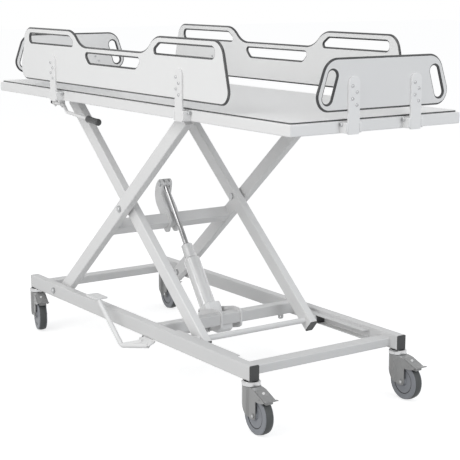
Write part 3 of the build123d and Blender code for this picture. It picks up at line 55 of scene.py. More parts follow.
camera_data = bpy.data.cameras.new("photo_camera")
camera_data.sensor_width = 36.0
camera_data.lens = 100.208
camera_data.clip_end = 60.0
photo_camera = bpy.data.objects.new("photo_camera", camera_data)
photo_camera.location = (3.80284, -2.49482, 1.36567)
photo_camera.rotation_euler = (radians(78.9677), 0.0, radians(55.4053))
scene.collection.objects.link(photo_camera)
scene.camera = photo_camera


def seen_not_lit(tree):
    """A share that is 1 for what the camera, a mirror or glass looks at, and 0 for light that bounces."""
    ray = tree.nodes.new("ShaderNodeLightPath")
    seen = ray.outputs["Is Camera Ray"]
    for other in ("Is Glossy Ray", "Is Transmission Ray"):
        either = tree.nodes.new("ShaderNodeMath")
        either.operation = "MAXIMUM"
        tree.links.new(seen, either.inputs[0])
        tree.links.new(ray.outputs[other], either.inputs[1])
        seen = either.outputs[0]
    return seen


surround = bpy.data.worlds.new("white_surround")
scene.world = surround
surround.use_nodes = True
sky = surround.node_tree
sky.nodes.clear()
sky_out = sky.nodes.new("ShaderNodeOutputWorld")
sky_mix = sky.nodes.new("ShaderNodeMixShader")
soft_fill = sky.nodes.new("ShaderNodeBackground")
soft_fill.inputs["Color"].default_value = (0.955, 0.97, 0.99, 1.0)
soft_fill.inputs["Strength"].default_value = 0.55
seen_white = sky.nodes.new("ShaderNodeBackground")
seen_white.inputs["Color"].default_value = (1.0, 1.0, 1.0, 1.0)
seen_white.inputs["Strength"].default_value = 1.0
sky.links.new(seen_not_lit(sky), sky_mix.inputs["Fac"])
sky.links.new(soft_fill.outputs[0], sky_mix.inputs[1])
sky.links.new(seen_white.outputs[0], sky_mix.inputs[2])
sky.links.new(sky_mix.outputs[0], sky_out.inputs["Surface"])

bpy.ops.mesh.primitive_plane_add(size=60.0, location=(0.0, 0.0, 0.0))
paper_floor = bpy.context.object
paper_floor.name = "paper_floor"
paper = bpy.data.materials.new("white_paper")
paper.use_nodes = True
paper_tree = paper.node_tree
paper_tree.nodes.clear()
paper_out = paper_tree.nodes.new("ShaderNodeOutputMaterial")
paper_seen = paper_tree.nodes.new("ShaderNodeBsdfDiffuse")
paper_seen.inputs["Color"].default_value = (0.5, 0.5, 0.5, 1.0)
paper_bounce = paper_tree.nodes.new("ShaderNodeBsdfDiffuse")
paper_bounce.inputs["Color"].default_value = (0.55, 0.55, 0.55, 1.0)
paper_glow = paper_tree.nodes.new("ShaderNodeEmission")
paper_glow.inputs["Color"].default_value = (1.0, 1.0, 1.0, 1.0)
paper_glow.inputs["Strength"].default_value = 0.72
paper_white = paper_tree.nodes.new("ShaderNodeAddShader")
paper_mix = paper_tree.nodes.new("ShaderNodeMixShader")
paper_tree.links.new(paper_seen.outputs[0], paper_white.inputs[0])
paper_tree.links.new(paper_glow.outputs[0], paper_white.inputs[1])
paper_tree.links.new(seen_not_lit(paper_tree), paper_mix.inputs["Fac"])
paper_tree.links.new(paper_bounce.outputs[0], paper_mix.inputs[1])
paper_tree.links.new(paper_white.outputs[0], paper_mix.inputs[2])
paper_tree.links.new(paper_mix.outputs[0], paper_out.inputs["Surface"])
paper_floor.data.materials.append(paper)


def soft_lamp(name, place, aim, size, power, tint):
    """A large square soft box that points from its place at a spot on the trolley, in metres."""
    lamp_data = bpy.data.lights.new(name, "AREA")
    lamp_data.shape = "SQUARE"
    lamp_data.size = size
    lamp_data.energy = power
    lamp_data.color = tint
    lamp = bpy.data.objects.new(name, lamp_data)
    lamp.location = place
    lamp.rotation_euler = (Vector(aim) - Vector(place)).to_track_quat("-Z", "Y").to_euler()
    scene.collection.objects.link(lamp)


soft_lamp("near_side_lamp", place=(0.5, -3.7, 3.3), aim=(0.0, -0.3, 1.0), size=3.0, power=68.0,
          tint=(1.0, 0.995, 0.985))
soft_lamp("low_fill_lamp", place=(0.8, -4.6, 0.9), aim=(0.0, 0.2, 0.35), size=2.4, power=32.0,
          tint=(1.0, 0.998, 0.99))
soft_lamp("front_end_lamp", place=(5.0, 0.8, 2.4), aim=(0.9, 0.0, 1.0), size=2.6, power=66.0,
          tint=(0.94, 0.97, 1.0))
soft_lamp("top_lamp", place=(-0.3, 0.4, 6.0), aim=(0.0, 0.0, 0.6), size=4.5, power=36.0,
          tint=(1.0, 1.0, 1.0))


# Base frame: two square-cornered steel tubes with welded cross tubes, coated with off-white powder
# that is baked on. The coat is smooth, with a fine orange-peel skin and a few faint rub marks.
def started(name):
    """A new finish: the material, its nodes, its shader and the coordinates of the piece."""
    finish = bpy.data.materials.new(name)
    finish.use_nodes = True
    tree = finish.node_tree
    return finish, tree, tree.nodes["Principled BSDF"], tree.nodes.new("ShaderNodeTexCoord").outputs


def mottle(tree, place, scale, detail, roughness=0.5):
    """Cloudy noise over the piece, as a share from 0 to 1."""
    cloud = tree.nodes.new("ShaderNodeTexNoise")
    cloud.inputs["Scale"].default_value = scale
    cloud.inputs["Detail"].default_value = detail
    cloud.inputs["Roughness"].default_value = roughness
    tree.links.new(place, cloud.inputs["Vector"])
    return cloud.outputs["Fac"]


def stretched(tree, place, scale):
    """Coordinates that are scaled by axis, so that marks run along a piece."""
    stretch = tree.nodes.new("ShaderNodeMapping")
    stretch.inputs["Scale"].default_value = scale
    tree.links.new(place, stretch.inputs["Vector"])
    return stretch.outputs[0]


def two_tones(tree, share, colour, darker, start=0.3, end=0.7):
    """Runs from a darker tone of a colour to the colour itself as a share rises."""
    tone = tree.nodes.new("ShaderNodeValToRGB")
    dark, full = tone.color_ramp.elements[0], tone.color_ramp.elements[1]
    dark.position = start
    full.position = end
    dark.color = [channel * darker for channel in colour] + [1.0]
    full.color = list(colour) + [1.0]
    tree.links.new(share, tone.inputs["Fac"])
    return tone.outputs["Color"]


def spread(tree, share, low, high, start=0.3, end=0.7):
    """Runs from low to high as a share rises."""
    span = tree.nodes.new("ShaderNodeMapRange")
    span.inputs["From Min"].default_value = start
    span.inputs["From Max"].default_value = end
    span.inputs["To Min"].default_value = low
    span.inputs["To Max"].default_value = high
    tree.links.new(share, span.inputs["Value"])
    return span.outputs[0]


def colour_mix(tree, share, under):
    """Mixes a second colour over a first one by a share: the second's socket and the result."""
    mix = tree.nodes.new("ShaderNodeMix")
    mix.data_type = "RGBA"
    share_in, under_in, over_in, colour_out = mix.inputs[0], mix.inputs[6], mix.inputs[7], mix.outputs[2]
    tree.links.new(share, share_in)
    tree.links.new(under, under_in)
    return over_in, colour_out


def relief(tree, height, strength, depth):
    """Gives the shader a fine relief, its depth in metres."""
    bump = tree.nodes.new("ShaderNodeBump")
    bump.inputs["Strength"].default_value = strength
    bump.inputs["Distance"].default_value = depth
    tree.links.new(height, bump.inputs["Height"])
    tree.links.new(bump.outputs[0], tree.nodes["Principled BSDF"].inputs["Normal"])


def powder_coat(name, colour, rub=0.5, skin=900.0, low=0.34, high=0.46):
    """Baked powder: a nearly even colour, a fine pebbled skin and faint rubbed patches."""
    coat, tree, shader, place = started(name)
    shader.inputs["IOR"].default_value = 1.5
    cloud = mottle(tree, place["Object"], scale=3.5, detail=5.0)
    marks = mottle(tree, stretched(tree, place["Object"], (14.0, 60.0, 55.0)), scale=1.0, detail=7.0,
                   roughness=0.62)
    mark_mask = spread(tree, marks, low=0.0, high=0.16 * rub, start=0.69, end=0.78)
    even = two_tones(tree, cloud, colour, darker=0.972, start=0.32, end=0.68)
    rubbed, coat_colour = colour_mix(tree, mark_mask, even)
    rubbed.default_value = [channel * 0.62 for channel in colour] + [1.0]
    tree.links.new(coat_colour, shader.inputs["Base Color"])
    tree.links.new(spread(tree, cloud, low, high), shader.inputs["Roughness"])
    peel = mottle(tree, place["Object"], scale=skin, detail=2.0)
    relief(tree, peel, strength=0.12, depth=0.0003)
    return coat


def finish_with(material, *names):
    """Gives CAD nodes their finish."""
    for name in names:
        materials = frame["nodes"][name].data.materials
        materials.clear()
        materials.append(material)


white_coat = powder_coat("white_powder_coat", (0.795, 0.793, 0.79))
# The base frame's coat is a darker copy of the white coat: painted shade under the table. Its welds, the
# brake rivets and the rod's eye skin wear it too.
base_shaded_coat = powder_coat("base_shaded_powder_coat", (0.69, 0.689, 0.686))
finish_with(base_shaded_coat, "base_rail_right", "base_rail_left", "base_cross_tubes", "lower_guide_channels",
            "pedal_lugs")

# Welds of the base frame: short runs of overlapping drops where the cross tubes meet the rails. They
# are coated with the frame. From here on, sizes and places are in millimetres.
mm = 0.001


def box_in_mm(name):
    """Lowest and highest corner of a CAD node."""
    return [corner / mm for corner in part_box(name)]


def aimed(place, towards):
    """Sets a pattern that stands on the Z axis at a place, pointing towards a direction."""
    turn = Vector(towards).to_track_quat("Z", "Y").to_matrix().to_4x4()
    return Matrix.Translation(Vector(place) * mm) @ turn


def alone(piece):
    """Makes one piece the only selected and active one."""
    bpy.ops.object.select_all(action="DESELECT")
    piece.select_set(True)
    bpy.context.view_layer.objects.active = piece


def weld_bead(start, end, drop_radius=2.2):
    """One run of weld: a flattened drop, repeated along the joint so that the drops overlap."""
    drop_spacing, flatness, fewest = 1.2 * drop_radius, 0.85, 3
    run = Vector(end) - Vector(start)
    drops = max(fewest, round(run.length / drop_spacing))
    bpy.ops.object.select_all(action="DESELECT")
    bpy.ops.mesh.primitive_uv_sphere_add(segments=8, ring_count=4, radius=drop_radius * mm)
    bead = bpy.context.object
    bpy.ops.object.mode_set(mode="EDIT")
    bpy.ops.mesh.select_all(action="SELECT")
    bpy.ops.transform.resize(value=(1.0, 1.0, flatness), center_override=(0.0, 0.0, 0.0))
    bpy.ops.object.mode_set(mode="OBJECT")
    row = bead.modifiers.new("row_of_drops", "ARRAY")
    row.count = drops
    row.use_relative_offset = False
    row.use_constant_offset = True
    row.constant_offset_displace = (0.0, 0.0, run.length / (drops - 1) * mm)
    bpy.ops.object.modifier_apply(modifier="row_of_drops")
    bead.data.transform(aimed(start, run))
    return bead


def merged(pieces):
    """Joins pieces into the first of them."""
    alone(pieces[0])
    for piece in pieces[1:]:
        piece.select_set(True)
    if len(pieces) > 1:
        bpy.ops.object.join()
    return bpy.context.object


def joined(name, pieces, material, body):
    """Joins pieces into one named piece with its finish, which rides on its body."""
    whole = merged(pieces)
    whole.name = name
    whole.data.name = name
    whole.data.materials.clear()
    whole.data.materials.append(material)
    bpy.ops.object.shade_smooth_by_angle(angle=radians(38))
    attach(whole, body)
    return whole


rail_inside = box_in_mm("base_rail_left")[0].y
end_tube_outer = box_in_mm("base_cross_tubes")[1].x
end_tube_width, end_tube_foot, end_tube_top = 50.0, 167.0, 197.0
end_tube_inner = end_tube_outer - end_tube_width
pump_tube_top = box_in_mm("base_cross_tubes")[1].z
pump_tube_middle, pump_tube_size = 172.0, 40.0
pump_tube_rear = pump_tube_middle - pump_tube_size / 2
pump_tube_front = pump_tube_middle + pump_tube_size / 2
corner_gap = 2.0
base_welds = []
for y in (-rail_inside, rail_inside):
    for end in (-1, 1):
        for x in (end * end_tube_inner, end * end_tube_outer):
            base_welds.append(weld_bead((x, y, end_tube_foot + corner_gap), (x, y, end_tube_top)))
        base_welds.append(weld_bead((end * (end_tube_inner + corner_gap), y, end_tube_top),
                                    (end * (end_tube_outer - corner_gap), y, end_tube_top)))
    for x in (pump_tube_rear, pump_tube_front):
        base_welds.append(weld_bead((x, y, pump_tube_top - pump_tube_size + corner_gap),
                                    (x, y, pump_tube_top - corner_gap)))
joined("base_welds", base_welds, base_shaded_coat, "base")


# Tube plugs and slide blocks: matt black mouldings. The plugs are pressed into the tube ends, and the
# blocks slide in the guide channels.
def moulded_plastic(name, colour, low, high, grain=1400.0):
    """Moulded plastic: an even colour with a fine matt grain."""
    plastic, tree, shader, place = started(name)
    cloud = mottle(tree, place["Object"], scale=30.0, detail=6.0)
    tree.links.new(two_tones(tree, cloud, colour, darker=0.88), shader.inputs["Base Color"])
    tree.links.new(spread(tree, cloud, low, high), shader.inputs["Roughness"])
    fine = mottle(tree, place["Object"], scale=grain, detail=3.0)
    relief(tree, fine, strength=0.2, depth=0.0003)
    return plastic


black_plug = moulded_plastic("black_moulding", (0.05, 0.051, 0.052), low=0.45, high=0.6)
finish_with(black_plug, "rail_end_caps", "outer_arm_caps", "inner_arm_caps", "lower_slide_blocks",
            "upper_slide_blocks")

# Castors: pressed steel forks and brake pedals with a grey coat, blue-grey nylon wheel cores and dark
# elastic treads. Each fork turns on a stem that is bolted through the end of a rail.
corners = ("front_right", "front_left", "rear_right", "rear_left")
fork_coat = powder_coat("fork_grey_coat", (0.3, 0.3, 0.298), rub=0.8, skin=1200.0, low=0.24, high=0.32)
wheel_nylon = moulded_plastic("wheel_blue_grey", (0.24, 0.25, 0.272), low=0.38, high=0.5)
tread_rubber = moulded_plastic("tread_dark_grey", (0.075, 0.08, 0.08), low=0.55, high=0.7, grain=700.0)
for corner in corners:
    finish_with(fork_coat, f"castor_fork_{corner}", f"brake_pedal_{corner}")
    finish_with(wheel_nylon, f"wheel_core_{corner}")
    finish_with(tread_rubber, f"wheel_tread_{corner}")


# Small pieces of the castors: zinc axle bolts and nuts through the fork, coated pin heads, rivets and
# rolls on the brake, a black ring in each wheel side's groove as painted shade, and a thin black ring between
# the chromed swivel ring and the rail.
def bright_metal(name, colour, low, high, streak=(180.0, 180.0, 60.0)):
    """Plated or polished steel with fine turning marks and slight tarnish."""
    metal, tree, shader, place = started(name)
    shader.inputs["Metallic"].default_value = 1.0
    marks = mottle(tree, stretched(tree, place["Object"], streak), scale=1.0, detail=4.0)
    tree.links.new(two_tones(tree, marks, colour, darker=0.93), shader.inputs["Base Color"])
    tree.links.new(spread(tree, marks, low, high), shader.inputs["Roughness"])
    relief(tree, marks, strength=0.02, depth=0.0002)
    return metal


def turned(*steps, sides=20):
    """Turns a piece on the Z axis: a disc is extruded and resized through (height, radius) steps."""
    height, radius = steps[0]
    bpy.ops.object.select_all(action="DESELECT")
    bpy.ops.mesh.primitive_circle_add(vertices=sides, radius=radius * mm, fill_type="NGON",
                                      location=(0.0, 0.0, 0.0))
    piece = bpy.context.object
    bpy.ops.object.mode_set(mode="EDIT")
    bpy.ops.mesh.select_all(action="SELECT")
    bpy.ops.transform.translate(value=(0.0, 0.0, height * mm))
    for next_height, next_radius in steps[1:]:
        bpy.ops.mesh.extrude_region_move(
            TRANSFORM_OT_translate={"value": (0.0, 0.0, (next_height - height) * mm)})
        growth = next_radius / radius
        bpy.ops.transform.resize(value=(growth, growth, 1.0), center_override=(0.0, 0.0, next_height * mm))
        height, radius = next_height, next_radius
    bpy.ops.mesh.select_all(action="SELECT")
    bpy.ops.mesh.normals_make_consistent(inside=False)
    bpy.ops.object.mode_set(mode="OBJECT")
    return piece


def with_picked(piece, kind, wanted):
    """Enters edit mode with only the wanted edges or faces of a piece selected."""
    alone(piece)
    bpy.ops.object.mode_set(mode="EDIT")
    bpy.ops.mesh.select_mode(type=kind)
    bpy.ops.mesh.select_all(action="DESELECT")
    bpy.ops.object.mode_set(mode="OBJECT")
    for part in piece.data.edges if kind == "EDGE" else piece.data.polygons:
        part.select = wanted(part)
    bpy.ops.object.mode_set(mode="EDIT")


def hex_nut(across, height, stud):
    """A hexagon nut with chamfered corners and the rounded end of its bolt, of radius `stud`."""
    chamfer, overlap = 0.09 * across, 0.5
    bpy.ops.object.select_all(action="DESELECT")
    bpy.ops.mesh.primitive_cylinder_add(vertices=6, radius=across / sqrt(3.0) * mm, depth=height * mm,
                                        location=(0.0, 0.0, height / 2 * mm))
    nut = bpy.context.object
    with_picked(nut, "FACE", lambda face: face.normal.z > 0.9)
    bpy.ops.mesh.bevel(offset=chamfer * mm, segments=2, affect="EDGES")
    bpy.ops.object.mode_set(mode="OBJECT")
    bolt_end = turned((height - overlap, stud), (height + stud / 4, stud),
                      (height + stud / 2, 3 / 4 * stud), sides=12)
    return merged([nut, bolt_end])


def copied(pattern, placing):
    """A copy of a pattern with its own mesh, set in its place."""
    copy = pattern.copy()
    copy.data = pattern.data.copy()
    copy.data.transform(placing)
    scene.collection.objects.link(copy)
    return copy


def put_away(*patterns):
    """Removes patterns once their copies are in place."""
    for pattern in patterns:
        bpy.data.objects.remove(pattern)


joint = {each["name"]: each for each in frame["joints"]}


def pivot(name):
    """The place of a CAD joint."""
    return Vector(joint[name]["pos_m"]) / mm


bright_zinc = bright_metal("bright_zinc", (0.5, 0.505, 0.51), low=0.24, high=0.34)
ring_chrome = bright_metal("ring_chrome", (0.6, 0.6, 0.605), low=0.14, high=0.22)
finish_with(ring_chrome, "castor_stems")
black_ring_height, black_ring_inner, black_ring_outer = 0.9, 15.0, 22.5
groove_back, groove_front, groove_inner, groove_outer = -3.6, -1.4, 38.9, 42.1
axle_head = turned((0.0, 6.4), (2.0, 6.4), (3.2, 5.6), (3.9, 4.0), (4.2, 1.8))
axle_nut = hex_nut(across=13.0, height=4.6, stud=3.6)
pin_head = turned((0.0, 4.6), (0.9, 4.4), (1.7, 3.2), (2.0, 1.4), sides=14)
pedal_rivet = turned((-3.0, 5.4), (0.8, 5.4), (1.8, 4.4), (2.2, 2.0))
pedal_roll = turned((0.0, 5.6), (1.2, 7.0), (13.0, 7.0), (15.0, 5.0), sides=24)
stem_black_ring = turned((0.0, black_ring_inner), (0.0, black_ring_outer), (black_ring_height, black_ring_outer),
                   (black_ring_height, black_ring_inner), sides=40)
# A black ring sunk in each wheel side's groove: painted shade in the groove.
groove_shade_ring = turned((groove_back, groove_inner), (groove_back, groove_outer),
                     (groove_front, groove_outer), (groove_front, groove_inner), sides=48)
right, left = Vector((0.0, -1.0, 0.0)), Vector((0.0, 1.0, 0.0))
fork_side, wheel_side = 22.4, 15.5
rivet_from_pin, rivet_lean = Vector((-7.0, -1.0, 13.2)), Vector((0.3, -0.65, 0.7))
roll_from_pin = Vector((-4.5, 0.0, 7.6))
rail_foot = box_in_mm("base_rail_left")[0].z
stem_black_rings = []
for corner in corners:
    stem, axle_line = pivot(f"swivel_{corner}"), joint[f"spin_{corner}"]["axis"]
    heading = Matrix.Rotation(atan2(-axle_line[0], axle_line[1]), 4, "Z")
    swivel = Matrix.Translation((stem.x * mm, stem.y * mm, 0.0)) @ heading
    axle = swivel.inverted() @ (pivot(f"spin_{corner}") * mm) / mm
    pin = swivel.inverted() @ (pivot(f"brake_press_{corner}") * mm) / mm
    bolt = [copied(axle_head, swivel @ aimed(axle + fork_side * right, right)),
            copied(axle_nut, swivel @ aimed(axle + fork_side * left, left))]
    joined(f"axle_bolt_{corner}", bolt, bright_zinc, f"castor_{corner}")
    pins = [copied(pin_head, swivel @ aimed(pin + fork_side * out, out)) for out in (right, left)]
    joined(f"brake_pin_heads_{corner}", pins, fork_coat, f"castor_{corner}")
    rivet = [copied(pedal_rivet, swivel @ aimed(pin + rivet_from_pin, rivet_lean))]
    joined(f"brake_rivet_{corner}", rivet, base_shaded_coat, f"brake_{corner}")
    roll = [copied(pedal_roll, swivel @ aimed(pin + roll_from_pin, left))]
    joined(f"brake_roll_{corner}", roll, fork_coat, f"brake_{corner}")
    groove_shades = [copied(groove_shade_ring, swivel @ aimed(axle + wheel_side * out, out)) for out in (right, left)]
    joined(f"wheel_groove_shade_{corner}", groove_shades, black_plug, f"wheel_{corner}")
    # A thin black ring on each stem, just under the rail end, on top of the chromed swivel ring.
    black_ring_place = Vector((stem.x, stem.y, rail_foot - black_ring_height))
    stem_black_rings.append(copied(stem_black_ring, Matrix.Translation(black_ring_place * mm)))
joined("swivel_black_rings", stem_black_rings, black_plug, "base")
put_away(axle_head, axle_nut, pin_head, pedal_rivet, pedal_roll, stem_black_ring, groove_shade_ring)

# Scissor arms: two frames of rectangular steel tube that cross at the centre bolts, with the same kind of
# coat as the base. The pivots are zinc plated bolts with a domed cap, and the axles are coated tube.
finish_with(white_coat, "outer_arms", "outer_cross_tube", "inner_arms", "lower_slider_axle",
            "upper_pivot_shaft")
finish_with(bright_zinc, "base_pivot_pins", "lever_pin", "centre_pivot_bolts", "upper_slider_axles")
lift_pivot, scissor_centre = pivot("lift"), pivot("scissor_centre")
pivot_cap = turned((-0.5, 9.2), (1.4, 9.2), (2.8, 8.2), (3.8, 5.8), (4.2, 2.6), sides=28)
rail_bolt_end = box_in_mm("base_pivot_pins")[1].y
rail_caps = [copied(pivot_cap, aimed(lift_pivot + rail_bolt_end * out, out)) for out in (right, left)]
joined("rail_pivot_caps", rail_caps, bright_zinc, "base")
centre_bolt_end = box_in_mm("centre_pivot_bolts")[1].y
centre_caps = [copied(pivot_cap, aimed(scissor_centre + centre_bolt_end * out, out))
               for out in (right, left)]
joined("centre_pivot_caps", centre_caps, bright_zinc, "outer_frame")
put_away(pivot_cap)
along = (scissor_centre - lift_pivot).normalized()
over = Vector((-along.z, 0.0, along.x))
cross_reach, cross_half = 460.0, 22.0
cross_middle = lift_pivot + cross_reach * along


def cross_weld(y, out, run, back=0.9, ahead=0.9, drop_radius=2.2):
    """A weld on one side of the outer cross tube. Its run goes back and ahead by shares of half the side."""
    side_middle = cross_middle + y * left + cross_half * out
    return weld_bead(side_middle - back * cross_half * run, side_middle + ahead * cross_half * run,
                     drop_radius)


arm_inside = box_in_mm("outer_cross_tube")[1].y
arm_welds = []
for y in (-arm_inside, arm_inside):
    for way in (-1, 1):
        arm_welds.append(cross_weld(y, way * along, over))
        arm_welds.append(cross_weld(y, way * over, along))
joined("arm_welds", arm_welds, white_coat, "outer_frame")

# Lever plates: two curved steel plates welded round the cross tube. The ram's eye hangs between them on
# a pin with zinc washers and spring clips.
finish_with(white_coat, "lever_plates")
pin_along, pin_over, tip_overlap = 57.0, 128.0, 0.8
lever_pin_place = cross_middle + pin_along * along + pin_over * over
plate_side, pin_end = box_in_mm("lever_plates")[1].y, box_in_mm("lever_pin")[1].y
lever_washer = turned((0.0, 12.5), (1.6, 12.5), (2.0, 12.1), sides=28)
pin_tip = turned((0.0, 9.3), (1.4, 9.3), (2.4, 8.6), (2.4, 5.8), (1.9, 5.2), (1.9, 2.6), sides=24)
pin_ends = []
for out in (right, left):
    pin_ends.append(copied(lever_washer, aimed(lever_pin_place + plate_side * out, out)))
    pin_ends.append(copied(pin_tip, aimed(lever_pin_place + (pin_end - tip_overlap) * out, out)))
joined("lever_pin_ends", pin_ends, bright_zinc, "outer_frame")
put_away(lever_washer, pin_tip)
small_drop, plate_back = 1.8, 0.6
plate_welds = []
for y in (-plate_side, plate_side):
    plate_welds.append(cross_weld(y, along, over, drop_radius=small_drop))
    plate_welds.append(cross_weld(y, over, along, back=plate_back, drop_radius=small_drop))
joined("lever_plate_welds", plate_welds, white_coat, "outer_frame")

# Hydraulic ram: a coated steel cylinder in a cast foot and a ground, chromed rod. A rubber wiper sits on
# the collar where the rod comes out, and the rod's eye has a coated skin.
ground_rod = bright_metal("ground_rod", (0.52, 0.52, 0.525), low=0.22, high=0.28, streak=(60.0, 60.0, 60.0))
finish_with(ground_rod, "piston_rod")
cylinder_coat = powder_coat("cylinder_gloss_coat", (0.78, 0.778, 0.775), rub=0.4, skin=1200.0, low=0.16,
                            high=0.24)
cylinder_shader = cylinder_coat.node_tree.nodes["Principled BSDF"]
cylinder_shader.inputs["Coat Weight"].default_value = 1.0
cylinder_shader.inputs["Coat Roughness"].default_value = 0.07
cylinder_shader.inputs["Coat IOR"].default_value = 1.8
finish_with(cylinder_coat, "cylinder")
ram_foot, collar_reach = pivot("ram_tilt"), 286.6
ram_axis = (lever_pin_place - ram_foot).normalized()
wiper_rubber = moulded_plastic("wiper_rubber", (0.11, 0.11, 0.112), low=0.5, high=0.62, grain=900.0)
wiper = turned((-0.5, 16.0), (2.2, 16.0), (4.0, 14.0), (4.6, 11.2), sides=32)
wiper.data.transform(aimed(ram_foot + collar_reach * ram_axis, ram_axis))
joined("rod_wiper", [wiper], wiper_rubber, "cylinder")
eye_radius, eye_width, eye_skin_wall = 16.9, 15.0, 0.6
bpy.ops.object.select_all(action="DESELECT")
bpy.ops.mesh.primitive_cylinder_add(vertices=40, radius=eye_radius * mm, depth=eye_width * mm,
                                    location=(0.0, 0.0, 0.0))
eye_skin = bpy.context.object
with_picked(eye_skin, "FACE", lambda face: abs(face.normal.z) > 0.9)
bpy.ops.mesh.inset(thickness=eye_skin_wall * mm, use_individual=True)
bpy.ops.mesh.bridge_edge_loops()
bpy.ops.mesh.select_all(action="SELECT")
bpy.ops.mesh.normals_make_consistent(inside=False)
bpy.ops.object.mode_set(mode="OBJECT")
eye_skin.data.transform(aimed(lever_pin_place, right))
joined("rod_eye_skin", [eye_skin], base_shaded_coat, "rod")


# Foot pump: a light coated casting under the cross tube, held between two welded brackets. Socket screws
# close its drillings, and a return spring is wound round the pedal barrel, over a rubber gaiter.
def cut_socket(piece, across, top, depth):
    """Cuts a hexagon key socket into the top of a turned head."""
    bpy.ops.object.select_all(action="DESELECT")
    bpy.ops.mesh.primitive_cylinder_add(vertices=6, radius=across / sqrt(3.0) * mm, depth=2 * depth * mm,
                                        location=(0.0, 0.0, top * mm))
    key = bpy.context.object
    alone(piece)
    socket = piece.modifiers.new("key_socket", "BOOLEAN")
    socket.operation = "DIFFERENCE"
    socket.object = key
    bpy.ops.object.modifier_apply(modifier="key_socket")
    bpy.data.objects.remove(key)
    return piece


cast_coat = powder_coat("cast_light_coat", (0.87, 0.87, 0.868), rub=0.9, skin=420.0)
finish_with(cast_coat, "cylinder_foot", "pump_valve_body")
finish_with(white_coat, "pump_brackets")
plug_steel = bright_metal("dark_plug_steel", (0.12, 0.12, 0.124), low=0.35, high=0.5)
plug_top = 1.4
drill_plug = cut_socket(turned((-1.0, 5.2), (0.8, 5.2), (plug_top, 4.6)), across=5.0, top=plug_top, depth=2.0)
foot_front = Vector((ram_axis.z, 0.0, -ram_axis.x))
foot_side = box_in_mm("cylinder_foot")[1].y
foot_plugs = []
for out in (right, left):
    for up, ahead in ((17.0, 17.0), (29.0, -16.0)):
        plug_place = ram_foot + up * ram_axis + ahead * foot_front + foot_side * out
        foot_plugs.append(copied(drill_plug, aimed(plug_place, out)))
joined("foot_plugs", foot_plugs, plug_steel, "cylinder")
pedal_pivot = pivot("pedal_press")


def from_shaft(x, y, z):
    """A place beside the pedal's shaft: x and z from the shaft's middle, y across the trolley."""
    return Vector((pedal_pivot.x + x, y, pedal_pivot.z + z))


block_right, right_rise = -39.0, 12.0
block_left, left_rise = box_in_mm("pump_valve_body")[1].y, 6.0
valve_plugs = [copied(drill_plug, aimed(from_shaft(x, block_right, right_rise), right)) for x in (25.0, 43.0)]
valve_plugs += [copied(drill_plug, aimed(from_shaft(x, block_left, left_rise), left)) for x in (3.0, 37.0)]
joined("valve_plugs", valve_plugs, plug_steel, "base")
put_away(drill_plug)
wire_radius, coil_radius, coil_pitch, coil_turns, coil_start = 1.7, 16.4, 6.2, 5, -41.0
bpy.ops.object.select_all(action="DESELECT")
bpy.ops.mesh.primitive_circle_add(vertices=8, radius=wire_radius * mm, fill_type="NOTHING",
                                  location=(0.0, 0.0, 0.0), rotation=(pi / 2, 0.0, 0.0))
spring = bpy.context.object
bpy.ops.object.transform_apply(location=True, rotation=True, scale=True)
bpy.ops.object.mode_set(mode="EDIT")
bpy.ops.mesh.select_all(action="SELECT")
bpy.ops.transform.translate(value=(coil_radius * mm, 0.0, 0.0))
bpy.ops.object.mode_set(mode="OBJECT")
winding = spring.modifiers.new("winding", "SCREW")
winding.axis = "Z"
winding.angle = 2 * pi
winding.screw_offset = coil_pitch * mm
winding.iterations = coil_turns
winding.steps = 24
winding.render_steps = 24
winding.use_merge_vertices = True
bpy.ops.object.modifier_apply(modifier="winding")
bpy.ops.object.mode_set(mode="EDIT")
bpy.ops.mesh.select_all(action="SELECT")
bpy.ops.mesh.remove_doubles(threshold=0.01 * mm)
bpy.ops.mesh.fill_holes(sides=8)
bpy.ops.mesh.select_all(action="SELECT")
bpy.ops.mesh.normals_make_consistent(inside=False)
bpy.ops.object.mode_set(mode="OBJECT")
spring.data.transform(aimed(from_shaft(0.0, coil_start, 0.0), right))
joined("pedal_spring", [spring], bright_zinc, "base")
gaiter_start = -39.5
gaiter = turned((0.0, 14.3), (32.0, 14.3), (33.0, 13.4), (33.0, 9.0), sides=28)
gaiter.data.transform(aimed(from_shaft(0.0, gaiter_start, 0.0), right))
joined("pedal_gaiter", [gaiter], wiper_rubber, "base")
bracket_side = box_in_mm("pump_brackets")[1].y
bracket_welds = [weld_bead((pump_tube_rear + corner_gap, y, pump_tube_top),
                           (pump_tube_front - corner_gap, y, pump_tube_top), small_drop)
                 for y in (-bracket_side, bracket_side)]
joined("bracket_welds", bracket_welds, base_shaded_coat, "base")


# Foot pedal: one coated steel bar bent up to a foot pad. Its other end is welded under a sloping tread
# plate that stands on the shaft, and the shaft turns in two lugs under the right rail. Black flanged
# bushes line the lugs.
def cut_plate(length, width, thickness, corner, place, turn=Matrix.Identity(4)):
    """A flat steel plate with rounded corners and a broken rim, turned and set at its place."""
    rim = 0.8
    bpy.ops.object.select_all(action="DESELECT")
    bpy.ops.mesh.primitive_cube_add(size=mm)
    plate = bpy.context.object
    plate.data.transform(Matrix.Diagonal((length, width, thickness, 1.0)))
    points = plate.data.vertices

    def upright(edge):
        foot, head = (points[index].co.z for index in edge.vertices)
        return abs(head - foot) > 0.1 * mm

    with_picked(plate, "EDGE", upright)
    bpy.ops.mesh.bevel(offset=corner * mm, segments=5, affect="EDGES")
    bpy.ops.mesh.select_all(action="DESELECT")
    bpy.ops.mesh.edges_select_sharp(sharpness=radians(60))
    bpy.ops.mesh.bevel(offset=rim * mm, segments=2, affect="EDGES")
    bpy.ops.object.mode_set(mode="OBJECT")
    bpy.ops.object.shade_smooth_by_angle(angle=radians(32))
    plate.data.transform(Matrix.Translation(place * mm) @ turn)
    return plate


